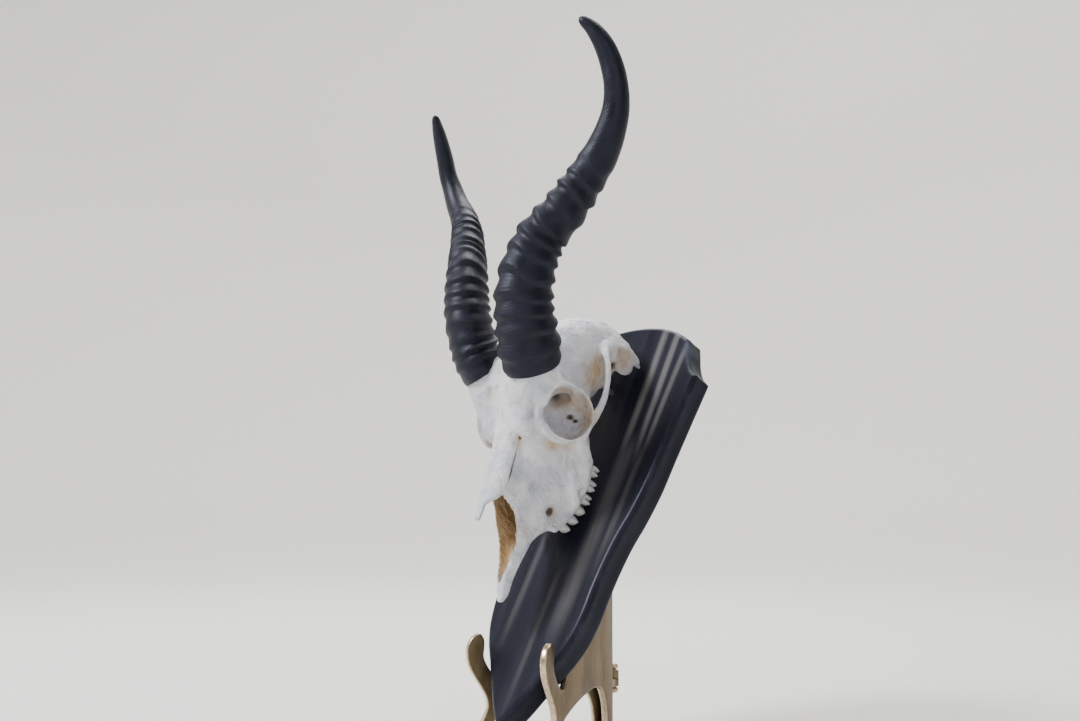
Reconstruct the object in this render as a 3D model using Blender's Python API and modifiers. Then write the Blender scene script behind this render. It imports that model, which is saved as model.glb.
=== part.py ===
"""Springbok skull on a shield board that stands in a folding easel. Metres, +Z up.

The trophy (board, skull, teeth and horn sheaths) is modelled in the board's own frame: X to the
skull's left, Y up along the board's face, Z out of the face. An empty leans that frame back.
The easel is modelled upright, in plates that swing about a hinge line behind the board.
"""
import math

import bmesh
import bpy
import numpy as np
from mathutils import Matrix, Vector

# Placing
LEAN = math.radians(26)
FACE_HEIGHT = 0.105
FOOTPRINT_CENTRE = 0.0276
GAP = 0.0003

# Shield board: half outline from the foot to the shoulder, the cove above it, and the arch
BOARD_FLANK = [(0, -0.088), (0.010, -0.076), (0.020, -0.061), (0.030, -0.046), (0.038, -0.034),
               (0.044, -0.021), (0.0475, -0.005), (0.049, 0.014), (0.0515, 0.033), (0.055, 0.050),
               (0.061, 0.069), (0.066, 0.090), (0.070, 0.120), (0.0745, 0.152), (0.0785, 0.179)]
BOARD_COVE = [(0.0785, 0.179), (0.072, 0.185), (0.066, 0.195), (0.062, 0.206), (0.0595, 0.2125)]
BOARD_ARCH = [(0.0595, 0.2125), (0.046, 0.2207), (0.031, 0.2262), (0.015, 0.2291), (0, 0.2300)]
BOARD_THICK = 0.018
# Height and inset of the board's edge, from its back to its face
BOARD_EDGE = [(-0.018, 0.0014), (-0.0172, 0.0003), (-0.0160, 0), (-0.0026, 0), (-0.0010, 0.0004),
              (-0.0003, 0.0012), (0, 0.0024)]

# Screw from the board's back into the base of the skull
SCREW_PLACE = 0.170
SCREW_RADIUS = 0.002
SCREW_HEAD_RADIUS = 0.0045
SCREW_HEAD_HEIGHT = 0.003
SCREW_REACH = 0.030
SCREW_POINT = 0.004
SCREW_CROWN = 0.001
HOLE_OVERRUN = 0.001

# Skull face, as rows of place along the skull, roof, floor, half width of roof, half width of floor
FACE = [(-0.0135, 0.0340, 0.0312, 0.0018, 0.0024), (-0.007, 0.0368, 0.0295, 0.0040, 0.0050),
        (0.001, 0.0405, 0.0308, 0.0050, 0.0072), (0.010, 0.0430, 0.0318, 0.0062, 0.0092),
        (0.022, 0.0470, 0.0312, 0.0080, 0.0120), (0.034, 0.0565, 0.0288, 0.0100, 0.0144),
        (0.042, 0.0622, 0.0230, 0.0108, 0.0172), (0.050, 0.0700, 0.0168, 0.0112, 0.0208),
        (0.060, 0.0718, 0.0132, 0.0120, 0.0240), (0.074, 0.0740, 0.0120, 0.0132, 0.0270),
        (0.088, 0.0775, 0.0138, 0.0165, 0.0292), (0.098, 0.0810, 0.0168, 0.0215, 0.0302),
        (0.110, 0.0860, 0.0240, 0.0265, 0.0285), (0.124, 0.0900, 0.0300, 0.0265, 0.0220),
        (0.138, 0.0930, 0.0340, 0.0230, 0.0170)]
CRANIUM = [(0.094, 0.0790, 0.0480, 0.0150, 0.0250), (0.104, 0.0870, 0.0420, 0.0225, 0.0280),
           (0.114, 0.0945, 0.0390, 0.0275, 0.0290), (0.124, 0.1015, 0.0360, 0.0295, 0.0265),
           (0.134, 0.1045, 0.0330, 0.0290, 0.0240), (0.145, 0.1010, 0.0290, 0.0260, 0.0230),
           (0.156, 0.0962, 0.0230, 0.0240, 0.0245), (0.168, 0.0895, 0.0180, 0.0235, 0.0250),
           (0.180, 0.0815, 0.0140, 0.0228, 0.0250), (0.190, 0.0725, 0.0120, 0.0210, 0.0240),
           (0.199, 0.0605, 0.0120, 0.0180, 0.0205), (0.206, 0.0490, 0.0145, 0.0130, 0.0150),
           (0.2120, 0.0370, 0.0200, 0.0060, 0.0075)]
NASALS = [(0.0262, 0.0762, 0.0738, 0.0018, 0.0024), (0.0300, 0.0768, 0.0730, 0.0030, 0.0038),
          (0.0390, 0.0772, 0.0712, 0.0038, 0.0050), (0.0450, 0.0774, 0.0700, 0.0048, 0.0070),
          (0.0500, 0.0776, 0.0690, 0.0068, 0.0116), (0.0600, 0.0786, 0.0680, 0.0074, 0.0122),
          (0.0750, 0.0808, 0.0680, 0.0078, 0.0128), (0.0900, 0.0845, 0.0690, 0.0085, 0.0138),
          (0.1060, 0.0900, 0.0700, 0.0100, 0.0160)]
NOSE_CAVITY = [(0.000, 0.0560, 0.0350, 0.0022, 0.0034), (0.010, 0.0600, 0.0345, 0.0042, 0.0062),
               (0.022, 0.0650, 0.0335, 0.0062, 0.0090), (0.034, 0.0680, 0.0320, 0.0074, 0.0112),
               (0.049, 0.0680, 0.0290, 0.0078, 0.0150), (0.060, 0.0670, 0.0280, 0.0085, 0.0170),
               (0.074, 0.0660, 0.0300, 0.0090, 0.0170), (0.086, 0.0620, 0.0380, 0.0080, 0.0110)]
PALATE = [(0.048, 0.0220, -0.0050, 0.0040, 0.0100), (0.060, 0.0235, -0.0050, 0.0080, 0.0140),
          (0.080, 0.0245, -0.0050, 0.0110, 0.0170), (0.100, 0.0250, -0.0050, 0.0120, 0.0180),
          (0.116, 0.0270, -0.0050, 0.0120, 0.0180)]
SECTION_POWER = 2.7

# Soft skull lumps as centre, half sizes and turn about the cross axis in degrees
MIDDLE_LUMPS = {
    "skull_base": ((0, 0.166, 0.021), (0.012, 0.036, 0.009), 0),
}
SIDE_LUMPS = {
    "lacrimal": ((0.021, 0.105, 0.073), (0.012, 0.019, 0.010), 22),
    "bulla": ((0.0110, 0.1700, 0.0225), (0.0055, 0.0095, 0.0075), 0),
    "condyle": ((0.010, 0.199, 0.014), (0.007, 0.008, 0.0085), 0),
    "ear_root": ((0.023, 0.182, 0.033), (0.006, 0.010, 0.0115), 0),
    "ear_plate": ((0.0232, 0.1835, 0.0205), (0.0040, 0.0110, 0.0140), -8),
}

# Thick skull bars, softened with the lumps, as rows of place and radius
SOFT_BARS = {
    "jugal": [(0.0375, 0.0970, 0.055, 0.0050), (0.0350, 0.0985, 0.043, 0.0060),
              (0.0300, 0.0950, 0.030, 0.0075), (0.0240, 0.0850, 0.023, 0.0085)],
    "pedicel": [(0.0170, 0.1100, 0.0750, 0.0155), (0.0215, 0.1225, 0.0875, 0.0185),
                (0.0250, 0.1285, 0.0940, 0.0185)],
    "jaw_root": [(0.028, 0.106, 0.038, 0.0060), (0.021, 0.118, 0.041, 0.0080),
                 (0.013, 0.136, 0.041, 0.0100)],
    "tooth_row": [(0.0150, 0.0475, 0.0205, 0.0036), (0.0180, 0.0580, 0.0170, 0.0043),
                  (0.0205, 0.0680, 0.0155, 0.0044), (0.0225, 0.0780, 0.0157, 0.0044),
                  (0.0240, 0.0880, 0.0177, 0.0044), (0.0255, 0.0980, 0.0220, 0.0048)],
}

# Thin skull bars
THIN_BARS = {
    "cheek_arch": [(0.0385, 0.1100, 0.0470, 0.0036), (0.0395, 0.1220, 0.0425, 0.0034),
                   (0.0390, 0.1320, 0.0392, 0.0029), (0.0378, 0.1460, 0.0385, 0.0025),
                   (0.0372, 0.1560, 0.0402, 0.0024), (0.0362, 0.1640, 0.0430, 0.0025),
                   (0.0330, 0.1715, 0.0450, 0.0032), (0.0255, 0.1790, 0.0430, 0.0052)],
    "back_crest": [(0.001, 0.206, 0.040, 0.0028), (0.013, 0.2025, 0.035, 0.0028),
                   (0.0215, 0.1965, 0.027, 0.0028), (0.0250, 0.1935, 0.019, 0.0026),
                   (0.0225, 0.1915, 0.008, 0.0022)],
    "ear_prong": [(0.0235, 0.186, 0.020, 0.0046), (0.0226, 0.1895, 0.011, 0.0034),
                  (0.0214, 0.1905, 0.0036, 0.0022), (0.0212, 0.1903, 0.0018, 0.0014)],
    "palate_wing": [(0.0110, 0.104, 0.030, 0.0035), (0.0095, 0.122, 0.026, 0.0024),
                    (0.0085, 0.140, 0.028, 0.0030)],
}

# Eye sockets
SOCKET_CENTRE = (0.0385, 0.1135, 0.0648)
SOCKET_AXIS = (0.959, -0.018, 0.283)
SOCKET_RADIUS = 0.0193
SOCKET_RIM = 0.0018
SOCKET_DEPTH = 0.027
SOCKET_MOUTH_INSET = 0.0007
SOCKET_WALL = 0.0024
SOCKET_COLLAR = 0.0050
SOCKET_COLLAR_INSET = 0.0040
SOCKET_CUP_SHARE = 0.6
SOCKET_FLOOR_SHARE = 0.9

# Skull surface
BONE_VOXEL = 0.0016
LUMP_SMOOTHING = 24
BONE_SMOOTHING = 2
BONE_FACES_KEPT = 0.041

# Horn centre line from base to tip for the left horn, and its long width at lengths along it
HORN_LINE = [(0.0260, 0.1310, 0.0970), (0.0285, 0.1440, 0.1110), (0.0305, 0.1660, 0.1285),
             (0.0345, 0.1880, 0.1375), (0.0410, 0.2080, 0.1410), (0.0505, 0.2235, 0.1405),
             (0.0585, 0.2385, 0.1412), (0.0670, 0.2540, 0.1425), (0.0760, 0.2680, 0.1455),
             (0.0840, 0.2800, 0.1510), (0.0895, 0.2920, 0.1575), (0.0925, 0.3030, 0.1660),
             (0.0922, 0.3140, 0.1755), (0.0900, 0.3240, 0.1870), (0.0860, 0.3305, 0.1975),
             (0.0805, 0.3340, 0.2070)]
HORN_WIDTH = [(0, 0.0376), (0.02, 0.0402), (0.05, 0.0418), (0.12, 0.0402), (0.22, 0.0378),
              (0.31, 0.0348), (0.40, 0.0312), (0.49, 0.0288), (0.56, 0.0265), (0.62, 0.0246), (0.68, 0.0215), (0.74, 0.0188),
              (0.79, 0.0170), (0.85, 0.0158), (0.91, 0.0135), (0.96, 0.0095), (1, 0.0025)]
HORN_FLATNESS = 0.84
HORN_WIDE_AXIS = (0.67, 0.33, -0.67)
# Rise of the base edge for each metre outwards, along the board and out of it
HORN_BASE_SLANT = (-0.13, 0, -0.25)
HORN_SLANTED = 0.3
HORN_LENGTH = 0.262
HORN_CORE_SHARE = 0.58
HORN_CORE_LENGTH = 0.22
HORN_CORE_OVERRUN = 0.02
HORN_CORE_CLEARANCE = 0.01
SHEATH_ROOM_RINGS = 11
LEFT_HORN = {"side": 1, "height": 1.0, "rings": 14, "ringed": 0.66, "ring_depth": 0.0011}
RIGHT_HORN = {"side": -1, "height": 0.9, "rings": 16, "ringed": 0.62, "ring_depth": 0.0009}

# Upper cheek teeth from the front: name, length along the jaw and number of points
TEETH = [("premolar_1", 0.0066, 1), ("premolar_2", 0.0072, 1), ("premolar_3", 0.0076, 1),
         ("molar_1", 0.0090, 2), ("molar_2", 0.0096, 2), ("molar_3", 0.0090, 2)]
TOOTH_START = 0.0470
TOOTH_SPACING = 0.0006
TOOTH_WIDTH = 0.0066
TOOTH_ROW = [(0.047, 0.0150, 0.0115), (0.058, 0.0180, 0.0075), (0.068, 0.0205, 0.0058),
             (0.078, 0.0225, 0.0060), (0.088, 0.0240, 0.0080), (0.100, 0.0255, 0.0120)]
TOOTH_NECK = 0.0065
TOOTH_ROOT = 0.0135
TOOTH_CUSP = 0.0028
TOOTH_NECK_INSET = 0.0004
TOOTH_ROUNDING = 0.0006

# Easel: plates as outlines of reach from the hinge line and height
EASEL_SPREAD = math.radians(20.3)
HINGE_Y = 0.076
PLATE_THICK = 0.005
PLATE_ROUNDING = 0.0008
PLATE_REAR = 0.0073
PLATE_TOP = 0.165
PLATE_FRONT = [(0.0865, 0.0515), (0.0895, 0.0505), (0.0945, 0.0540), (0.0995, 0.0600),
               (0.1022, 0.0660), (0.1020, 0.0730), (0.1025, 0.0790), (0.1055, 0.0825),
               (0.1105, 0.0805), (0.1143, 0.0745), (0.1150, 0.0680), (0.1135, 0.0610),
               (0.1090, 0.0525), (0.1040, 0.0450), (0.1005, 0.0385), (0.0993, 0.0330),
               (0.1010, 0.0270), (0.1055, 0.0190), (0.1105, 0.0110), (0.1165, 0.0040),
               (0.1180, 0)]
PLATE_ARCH = [(0.1060, 0), (0.1010, 0.0100), (0.0950, 0.0200), (0.0870, 0.0305), (0.0790, 0.0345),
              (0.0670, 0.0390), (0.0510, 0.0430), (0.0350, 0.0448), (0.0270, 0.0425),
              (0.0215, 0.0350), (0.0180, 0.0200), (0.0190, 0)]
REST_FOOT = 0.0560
PLATE_FRONT_CORNER = 0.004
PLATE_REAR_CORNER = 0.006
LUG_RADIUS = 0.0034
LUG_HEIGHT = 0.0055
LUG_HEIGHTS = (0.041, 0.140)
PIN_RADIUS = 0.0015
PIN_KNOB_RADIUS = 0.0030
PIN_KNOB_FLATNESS = 0.8
LUG_MOUTH = math.radians(48)
LUG_TAB = 0.003
LUG_ROUNDING = 0.0003


def clear_scene():
    for thing in list(bpy.data.objects):
        bpy.data.objects.remove(thing, do_unlink=True)


def collection(name):
    made = bpy.data.collections.new(name)
    bpy.context.scene.collection.children.link(made)
    return made


def material(name, colour, roughness, metallic=0.0):
    made = bpy.data.materials.new(name)
    made.use_nodes = True
    shader = made.node_tree.nodes["Principled BSDF"]
    shader.inputs["Base Color"].default_value = (*colour, 1)
    shader.inputs["Roughness"].default_value = roughness
    shader.inputs["Metallic"].default_value = metallic
    return made


def hermite(places, values, wanted):
    """Smooth curve through values at rising places, read at the wanted places."""
    slopes = np.gradient(values, places, axis=0)
    left = np.clip(np.searchsorted(places, wanted, side="right") - 1, 0, len(places) - 2)
    span = (places[left + 1] - places[left])[:, None]
    t = (wanted - places[left])[:, None] / span
    return ((1 + 2 * t) * (1 - t) ** 2 * values[left] + t * (1 - t) ** 2 * span * slopes[left]
            + t * t * (3 - 2 * t) * values[left + 1] + t * t * (t - 1) * span * slopes[left + 1])


def along(points, count):
    """Evenly spaced points on a smooth curve through the given points."""
    points = np.asarray(points, float)
    steps = np.linalg.norm(np.diff(points, axis=0), axis=1)
    places = np.concatenate([[0], np.cumsum(steps)])
    return hermite(places, points, np.linspace(0, places[-1], count))


def table(rows, wanted):
    """Smooth reading of rows of (place, values...) at the wanted places."""
    rows = np.asarray(rows, float)
    return hermite(rows[:, 0], rows[:, 1:], np.asarray(wanted, float))


def loft_mesh(name, rings):
    """Closed body through rings of points, each ring going the same way round."""
    count = len(rings[0])
    body = bmesh.new()
    rows = [[body.verts.new(point) for point in ring] for ring in rings]
    for lower, upper in zip(rows, rows[1:]):
        for i in range(count):
            j = (i + 1) % count
            body.faces.new((lower[i], lower[j], upper[j], upper[i]))
    body.faces.new(rows[0][::-1])
    body.faces.new(rows[-1])
    bmesh.ops.recalc_face_normals(body, faces=body.faces)
    mesh = bpy.data.meshes.new(name)
    body.to_mesh(mesh)
    body.free()
    return mesh


def add_object(name, mesh, group, parent=None, finish=None):
    thing = bpy.data.objects.new(name, mesh)
    group.objects.link(thing)
    thing.parent = parent
    if finish:
        mesh.materials.clear()
        mesh.materials.append(finish)
    return thing


def add_cutter(name, mesh, group, parent=None):
    cutter = add_object(name, mesh, group, parent)
    cutter.hide_render = True
    cutter.display_type = "WIRE"
    return cutter


def boolean(thing, other, operation):
    modifier = thing.modifiers.new(f"{operation.lower()} {other.name}", "BOOLEAN")
    modifier.operation = operation
    modifier.solver = "EXACT"
    modifier.object = other


def curve_mesh(name, curve):
    """Mesh of a curve, with its caps welded to its side."""
    holder = bpy.data.objects.new(name, curve)
    bpy.context.scene.collection.objects.link(holder)
    depsgraph = bpy.context.evaluated_depsgraph_get()
    mesh = bpy.data.meshes.new_from_object(holder.evaluated_get(depsgraph))
    bpy.data.objects.remove(holder, do_unlink=True)
    weld = bmesh.new()
    weld.from_mesh(mesh)
    bmesh.ops.remove_doubles(weld, verts=weld.verts, dist=0.00001)
    weld.to_mesh(mesh)
    weld.free()
    return mesh


def bar_mesh(name, rows, count=9):
    """Round bar through rows of place and radius."""
    curve = bpy.data.curves.new(name, "CURVE")
    curve.dimensions = "3D"
    curve.bevel_depth = 1
    curve.bevel_resolution = 3
    curve.use_fill_caps = True
    spline = curve.splines.new("POLY")
    spline.points.add(count - 1)
    for point, (x, y, z, radius) in zip(spline.points, along(rows, count)):
        point.co = (x, y, z, 1)
        point.radius = radius
    return curve_mesh(name, curve)


def plate_mesh(name, outline, thick, rounding):
    """Flat plate in the XY plane with a closed outline and slightly rounded edges."""
    curve = bpy.data.curves.new(name, "CURVE")
    curve.dimensions = "2D"
    curve.fill_mode = "BOTH"
    curve.extrude = thick / 2 - rounding
    curve.bevel_depth = rounding
    curve.bevel_resolution = 0
    curve.offset = -rounding
    spline = curve.splines.new("POLY")
    spline.use_cyclic_u = True
    spline.points.add(len(outline) - 1)
    for point, (x, y) in zip(spline.points, outline):
        point.co = (x, y, 0, 1)
    return curve_mesh(name, curve)


def turned_mesh(name, profile, segments):
    """Round body about Z from a profile of radius and height, top to bottom."""
    outline = bmesh.new()
    points = [outline.verts.new((radius, 0, height)) for radius, height in profile]
    for upper, lower in zip(points, points[1:]):
        outline.edges.new((upper, lower))
    mesh = bpy.data.meshes.new(name)
    outline.to_mesh(mesh)
    outline.free()
    holder = bpy.data.objects.new(name, mesh)
    bpy.context.scene.collection.objects.link(holder)
    screw = holder.modifiers.new("turn", "SCREW")
    screw.steps = segments
    screw.render_steps = segments
    screw.use_merge_vertices = True
    screw.merge_threshold = 0.00001
    depsgraph = bpy.context.evaluated_depsgraph_get()
    turned = bpy.data.meshes.new_from_object(holder.evaluated_get(depsgraph))
    bpy.data.objects.remove(holder, do_unlink=True)
    return turned


def outward_offset(outline, distance):
    """Closed outline moved sideways by a distance, outward for a positive one."""
    outline = np.asarray(outline, float)
    edge = np.roll(outline, -1, axis=0) - outline
    edge /= np.linalg.norm(edge, axis=1)[:, None]
    normal = np.stack([edge[:, 1], -edge[:, 0]], axis=1)
    corner = normal + np.roll(normal, 1, axis=0)
    corner /= np.maximum(np.sum(corner * normal, axis=1), 0.5)[:, None]
    return outline + corner * distance


def board_outline():
    """Whole outline of the board, anticlockwise from its foot."""
    flank = along(BOARD_FLANK, 16)
    cove = along(BOARD_COVE, 5)
    arch = along(BOARD_ARCH, 5)
    half = np.concatenate([flank, cove[1:], arch[1:]])
    mirrored = half[-2:0:-1] * (-1, 1)
    return np.concatenate([half, mirrored])


def make_board(group, cutters, parent):
    """Shield board: insets of one outline, with rounded edges and a screw hole."""
    outline = board_outline()
    rings = []
    for height, inset in BOARD_EDGE:
        flat = outward_offset(outline, -inset)
        rings.append([(x, y, height) for x, y in flat])
    wood = material("stained wood", (0.012, 0.012, 0.017), 0.3)
    board = add_object("board", loft_mesh("board", rings), group, parent, wood)
    hole = screw_hole("board screw hole", cutters, parent)
    boolean(board, hole, "DIFFERENCE")


def screw_hole(name, cutters, parent):
    radius = SCREW_RADIUS + GAP
    deep = SCREW_REACH + HOLE_OVERRUN
    mouth = -BOARD_THICK - HOLE_OVERRUN
    profile = [(0, deep), (radius, deep), (radius, mouth), (0, mouth)]
    hole = add_cutter(name, turned_mesh(name, profile, 12), cutters, parent)
    hole.location = (0, SCREW_PLACE, 0)
    return hole


def make_screw(group, parent):
    """Round-headed screw with a pointed shank, its head on the board's back."""
    under_head = -BOARD_THICK - GAP
    top = under_head - SCREW_HEAD_HEIGHT
    profile = [(0, SCREW_REACH), (SCREW_RADIUS, SCREW_REACH - SCREW_POINT),
               (SCREW_RADIUS, under_head), (SCREW_HEAD_RADIUS, under_head),
               (SCREW_HEAD_RADIUS * 0.85, top + SCREW_CROWN), (SCREW_HEAD_RADIUS * 0.5, top), (0, top)]
    steel = material("screw steel", (0.45, 0.45, 0.46), 0.35, 1.0)
    screw = add_object("skull_screw", turned_mesh("skull_screw", profile, 12), group, parent, steel)
    screw.location = (0, SCREW_PLACE, 0)


def section_rings(rows, count, around=20):
    """Rings of a body whose sections are squarish ovals, narrower at the roof than at the floor."""
    places = np.linspace(rows[0][0], rows[-1][0], count)
    angle = np.linspace(0, 2 * np.pi, around, endpoint=False)
    rise = np.sign(np.cos(angle)) * np.abs(np.cos(angle)) ** (2 / SECTION_POWER)
    spread = np.sign(np.sin(angle)) * np.abs(np.sin(angle)) ** (2 / SECTION_POWER)
    rings = []
    for y, (roof, floor, roof_half, floor_half) in zip(places, table(rows, places)):
        half = floor_half + (roof_half - floor_half) * (rise + 1) / 2
        z = (roof + floor) / 2 + rise * (roof - floor) / 2
        rings.append(np.stack([half * spread, np.full(around, y), z], axis=1))
    return rings


def add_lump(body, centre, radii, turn, side=1):
    x, y, z = centre
    place = Matrix.Translation((side * x, y, z)) @ Matrix.Rotation(math.radians(turn), 4, "X")
    bmesh.ops.create_icosphere(body, subdivisions=3, radius=1,
                               matrix=place @ Matrix.Diagonal((*radii, 1)))


def socket_matrix(side):
    """Frame of one eye socket, its Z axis pointing out of the socket."""
    x, y, z = SOCKET_CENTRE
    axis = Vector((side * SOCKET_AXIS[0], SOCKET_AXIS[1], SOCKET_AXIS[2])).normalized()
    return Matrix.Translation((side * x, y, z)) @ axis.to_track_quat("Z", "Y").to_matrix().to_4x4()


def torus_mesh(name, major, minor, around=32, across=10):
    """Ring about Z."""
    rings = np.linspace(0, 2 * np.pi, around, endpoint=False)
    small = np.linspace(0, 2 * np.pi, across, endpoint=False)
    body = bmesh.new()
    rows = []
    for big in rings:
        row = []
        for turn in small:
            reach = major + minor * math.cos(turn)
            row.append(body.verts.new((reach * math.cos(big), reach * math.sin(big),
                                        minor * math.sin(turn))))
        rows.append(row)
    for i in range(around):
        for j in range(across):
            k = (i + 1) % around
            m = (j + 1) % across
            body.faces.new((rows[i][j], rows[k][j], rows[k][m], rows[i][m]))
    mesh = bpy.data.meshes.new(name)
    body.to_mesh(mesh)
    body.free()
    return mesh


def horn_frame(horn, shares):
    """Centres, tangents, wide axes and flat axes of a horn at shares of its length."""
    line = np.asarray(HORN_LINE, float)
    up = np.array([0, math.cos(LEAN), math.sin(LEAN)])
    rise = (line - line[0]) @ up
    line = line - np.outer(rise * (1 - horn["height"]), up)
    line[:, 0] *= horn["side"]
    steps = np.linalg.norm(np.diff(line, axis=0), axis=1)
    places = np.concatenate([[0], np.cumsum(steps)])
    wanted = np.asarray(shares) * places[-1]
    nudge = 0.001
    centre = hermite(places, line, wanted)
    ahead = hermite(places, line, np.minimum(wanted + nudge, places[-1]))
    behind = hermite(places, line, np.maximum(wanted - nudge, 0))
    tangent = ahead - behind
    tangent /= np.linalg.norm(tangent, axis=1)[:, None]
    wide = np.array(HORN_WIDE_AXIS) * (horn["side"], 1, 1)
    wide = wide - tangent * (tangent @ wide)[:, None]
    wide /= np.linalg.norm(wide, axis=1)[:, None]
    flat = np.cross(tangent, wide)
    return centre, tangent, wide, flat


def horn_rings(horn, shares, grow=0.0, share_of_width=1.0, around=14, ring_depth=0.0):
    """Oval rings across a horn; its ridges swell and its base is cut on a slant."""
    centre, tangent, wide, flat = horn_frame(horn, shares)
    half = table(HORN_WIDTH, shares)[:, 0] / 2 * share_of_width + grow
    ridge = np.where(shares < horn["ringed"], np.cos(2 * np.pi * horn["rings"] * shares
                                                     / horn["ringed"] - np.pi), 0)
    half = half + ring_depth * ridge
    slant = np.array(HORN_BASE_SLANT) * (horn["side"], 1, 1)
    slanted = np.clip(1 - shares / HORN_SLANTED, 0, 1)
    angle = np.linspace(0, 2 * np.pi, around, endpoint=False)
    rings = []
    for i in range(len(shares)):
        along_wide = half[i] * np.cos(angle)[:, None]
        along_flat = half[i] * HORN_FLATNESS * np.sin(angle)[:, None]
        ring = wide[i] * along_wide + flat[i] * along_flat
        rise = (ring @ slant)[:, None] * slanted[i]
        rings.append(centre[i] + ring + tangent[i] * rise)
    return rings


def make_horn(name, horn, group, cutters, parent):
    """Horn sheath: a ridged, curved cone, hollow at its base for the bony core."""
    ridged = np.linspace(0, horn["ringed"], 2 * horn["rings"] + 1)
    smooth = np.linspace(horn["ringed"], 1, 9)[1:]
    shares = np.concatenate([ridged, smooth])
    rings = horn_rings(horn, shares, ring_depth=horn["ring_depth"])
    keratin = material(f"{name} keratin", (0.018, 0.018, 0.026), 0.32)
    sheath = add_object(name, loft_mesh(name, rings), group, parent, keratin)
    hollow = np.linspace(-HORN_CORE_OVERRUN, HORN_CORE_LENGTH, 5)
    hollow_rings = horn_core_rings(horn, hollow, GAP)
    cavity = add_cutter(f"{name} hollow", loft_mesh(f"{name} hollow", hollow_rings), cutters, parent)
    boolean(sheath, cavity, "DIFFERENCE")


def horn_core_rings(horn, shares, grow):
    """Rings of the bony core, which starts below the sheath and tapers inside it."""
    inside = np.clip(shares, 0, None)
    rings = horn_rings(horn, inside, grow, HORN_CORE_SHARE, around=12)
    tangent = horn_frame(horn, inside)[1]
    below = np.clip(shares, None, 0) * HORN_LENGTH
    return [ring + tangent[i] * below[i] for i, ring in enumerate(rings)]


def mirrored_bars(body, bars):
    for name, rows in bars.items():
        for side in (1, -1):
            body.from_mesh(bar_mesh(name, [(side * x, y, z, radius) for x, y, z, radius in rows]))


def build_mesh(name, body):
    bmesh.ops.recalc_face_normals(body, faces=body.faces)
    mesh = bpy.data.meshes.new(name)
    body.to_mesh(mesh)
    body.free()
    return mesh


def fuse(thing, smoothing):
    """Fuse the overlapping bodies of an object into one skin, and soften it."""
    remesh = thing.modifiers.new("fuse", "REMESH")
    remesh.mode = "VOXEL"
    remesh.voxel_size = BONE_VOXEL
    soften = thing.modifiers.new("soften", "SMOOTH")
    soften.factor = 0.5
    soften.iterations = smoothing


def soft_lumps():
    """The rounded masses of the skull, fused with wide soft joins."""
    body = bmesh.new()
    for centre, radii, turn in MIDDLE_LUMPS.values():
        add_lump(body, centre, radii, turn)
    for centre, radii, turn in SIDE_LUMPS.values():
        for side in (1, -1):
            add_lump(body, centre, radii, turn, side)
    mirrored_bars(body, SOFT_BARS)
    for side in (1, -1):
        wall = SOCKET_DEPTH / 2 + SOCKET_WALL
        cup = socket_matrix(side) @ Matrix.Translation((0, 0, -wall))
        radius = SOCKET_RADIUS + SOCKET_WALL * SOCKET_CUP_SHARE
        bmesh.ops.create_icosphere(body, subdivisions=4, radius=1,
                                   matrix=cup @ Matrix.Diagonal((radius, radius, wall, 1)))
        collar = torus_mesh("socket collar", SOCKET_RADIUS - SOCKET_RIM, SOCKET_COLLAR)
        inset = Matrix.Translation((0, 0, -SOCKET_COLLAR_INSET))
        collar.transform(socket_matrix(side) @ inset)
        body.from_mesh(collar)
    body.from_mesh(loft_mesh("face", section_rings(FACE, 26)))
    body.from_mesh(loft_mesh("cranium", section_rings(CRANIUM, 26)))
    holder = bpy.data.objects.new("lumps", build_mesh("lumps", body))
    bpy.context.scene.collection.objects.link(holder)
    fuse(holder, LUMP_SMOOTHING)
    depsgraph = bpy.context.evaluated_depsgraph_get()
    mesh = bpy.data.meshes.new_from_object(holder.evaluated_get(depsgraph))
    bpy.data.objects.remove(holder, do_unlink=True)
    return mesh


def skull_bodies():
    """Soft lumps and the crisp parts of the skull in one mesh, as overlapping bodies."""
    body = bmesh.new()
    body.from_mesh(soft_lumps())
    body.from_mesh(loft_mesh("face", section_rings(FACE, 26)))
    body.from_mesh(loft_mesh("nasal bones", section_rings(NASALS, 16)))
    mirrored_bars(body, THIN_BARS)
    for side in (1, -1):
        rim = torus_mesh("socket rim", SOCKET_RADIUS, SOCKET_RIM)
        rim.transform(socket_matrix(side))
        body.from_mesh(rim)
    return build_mesh("skull", body)


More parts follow.
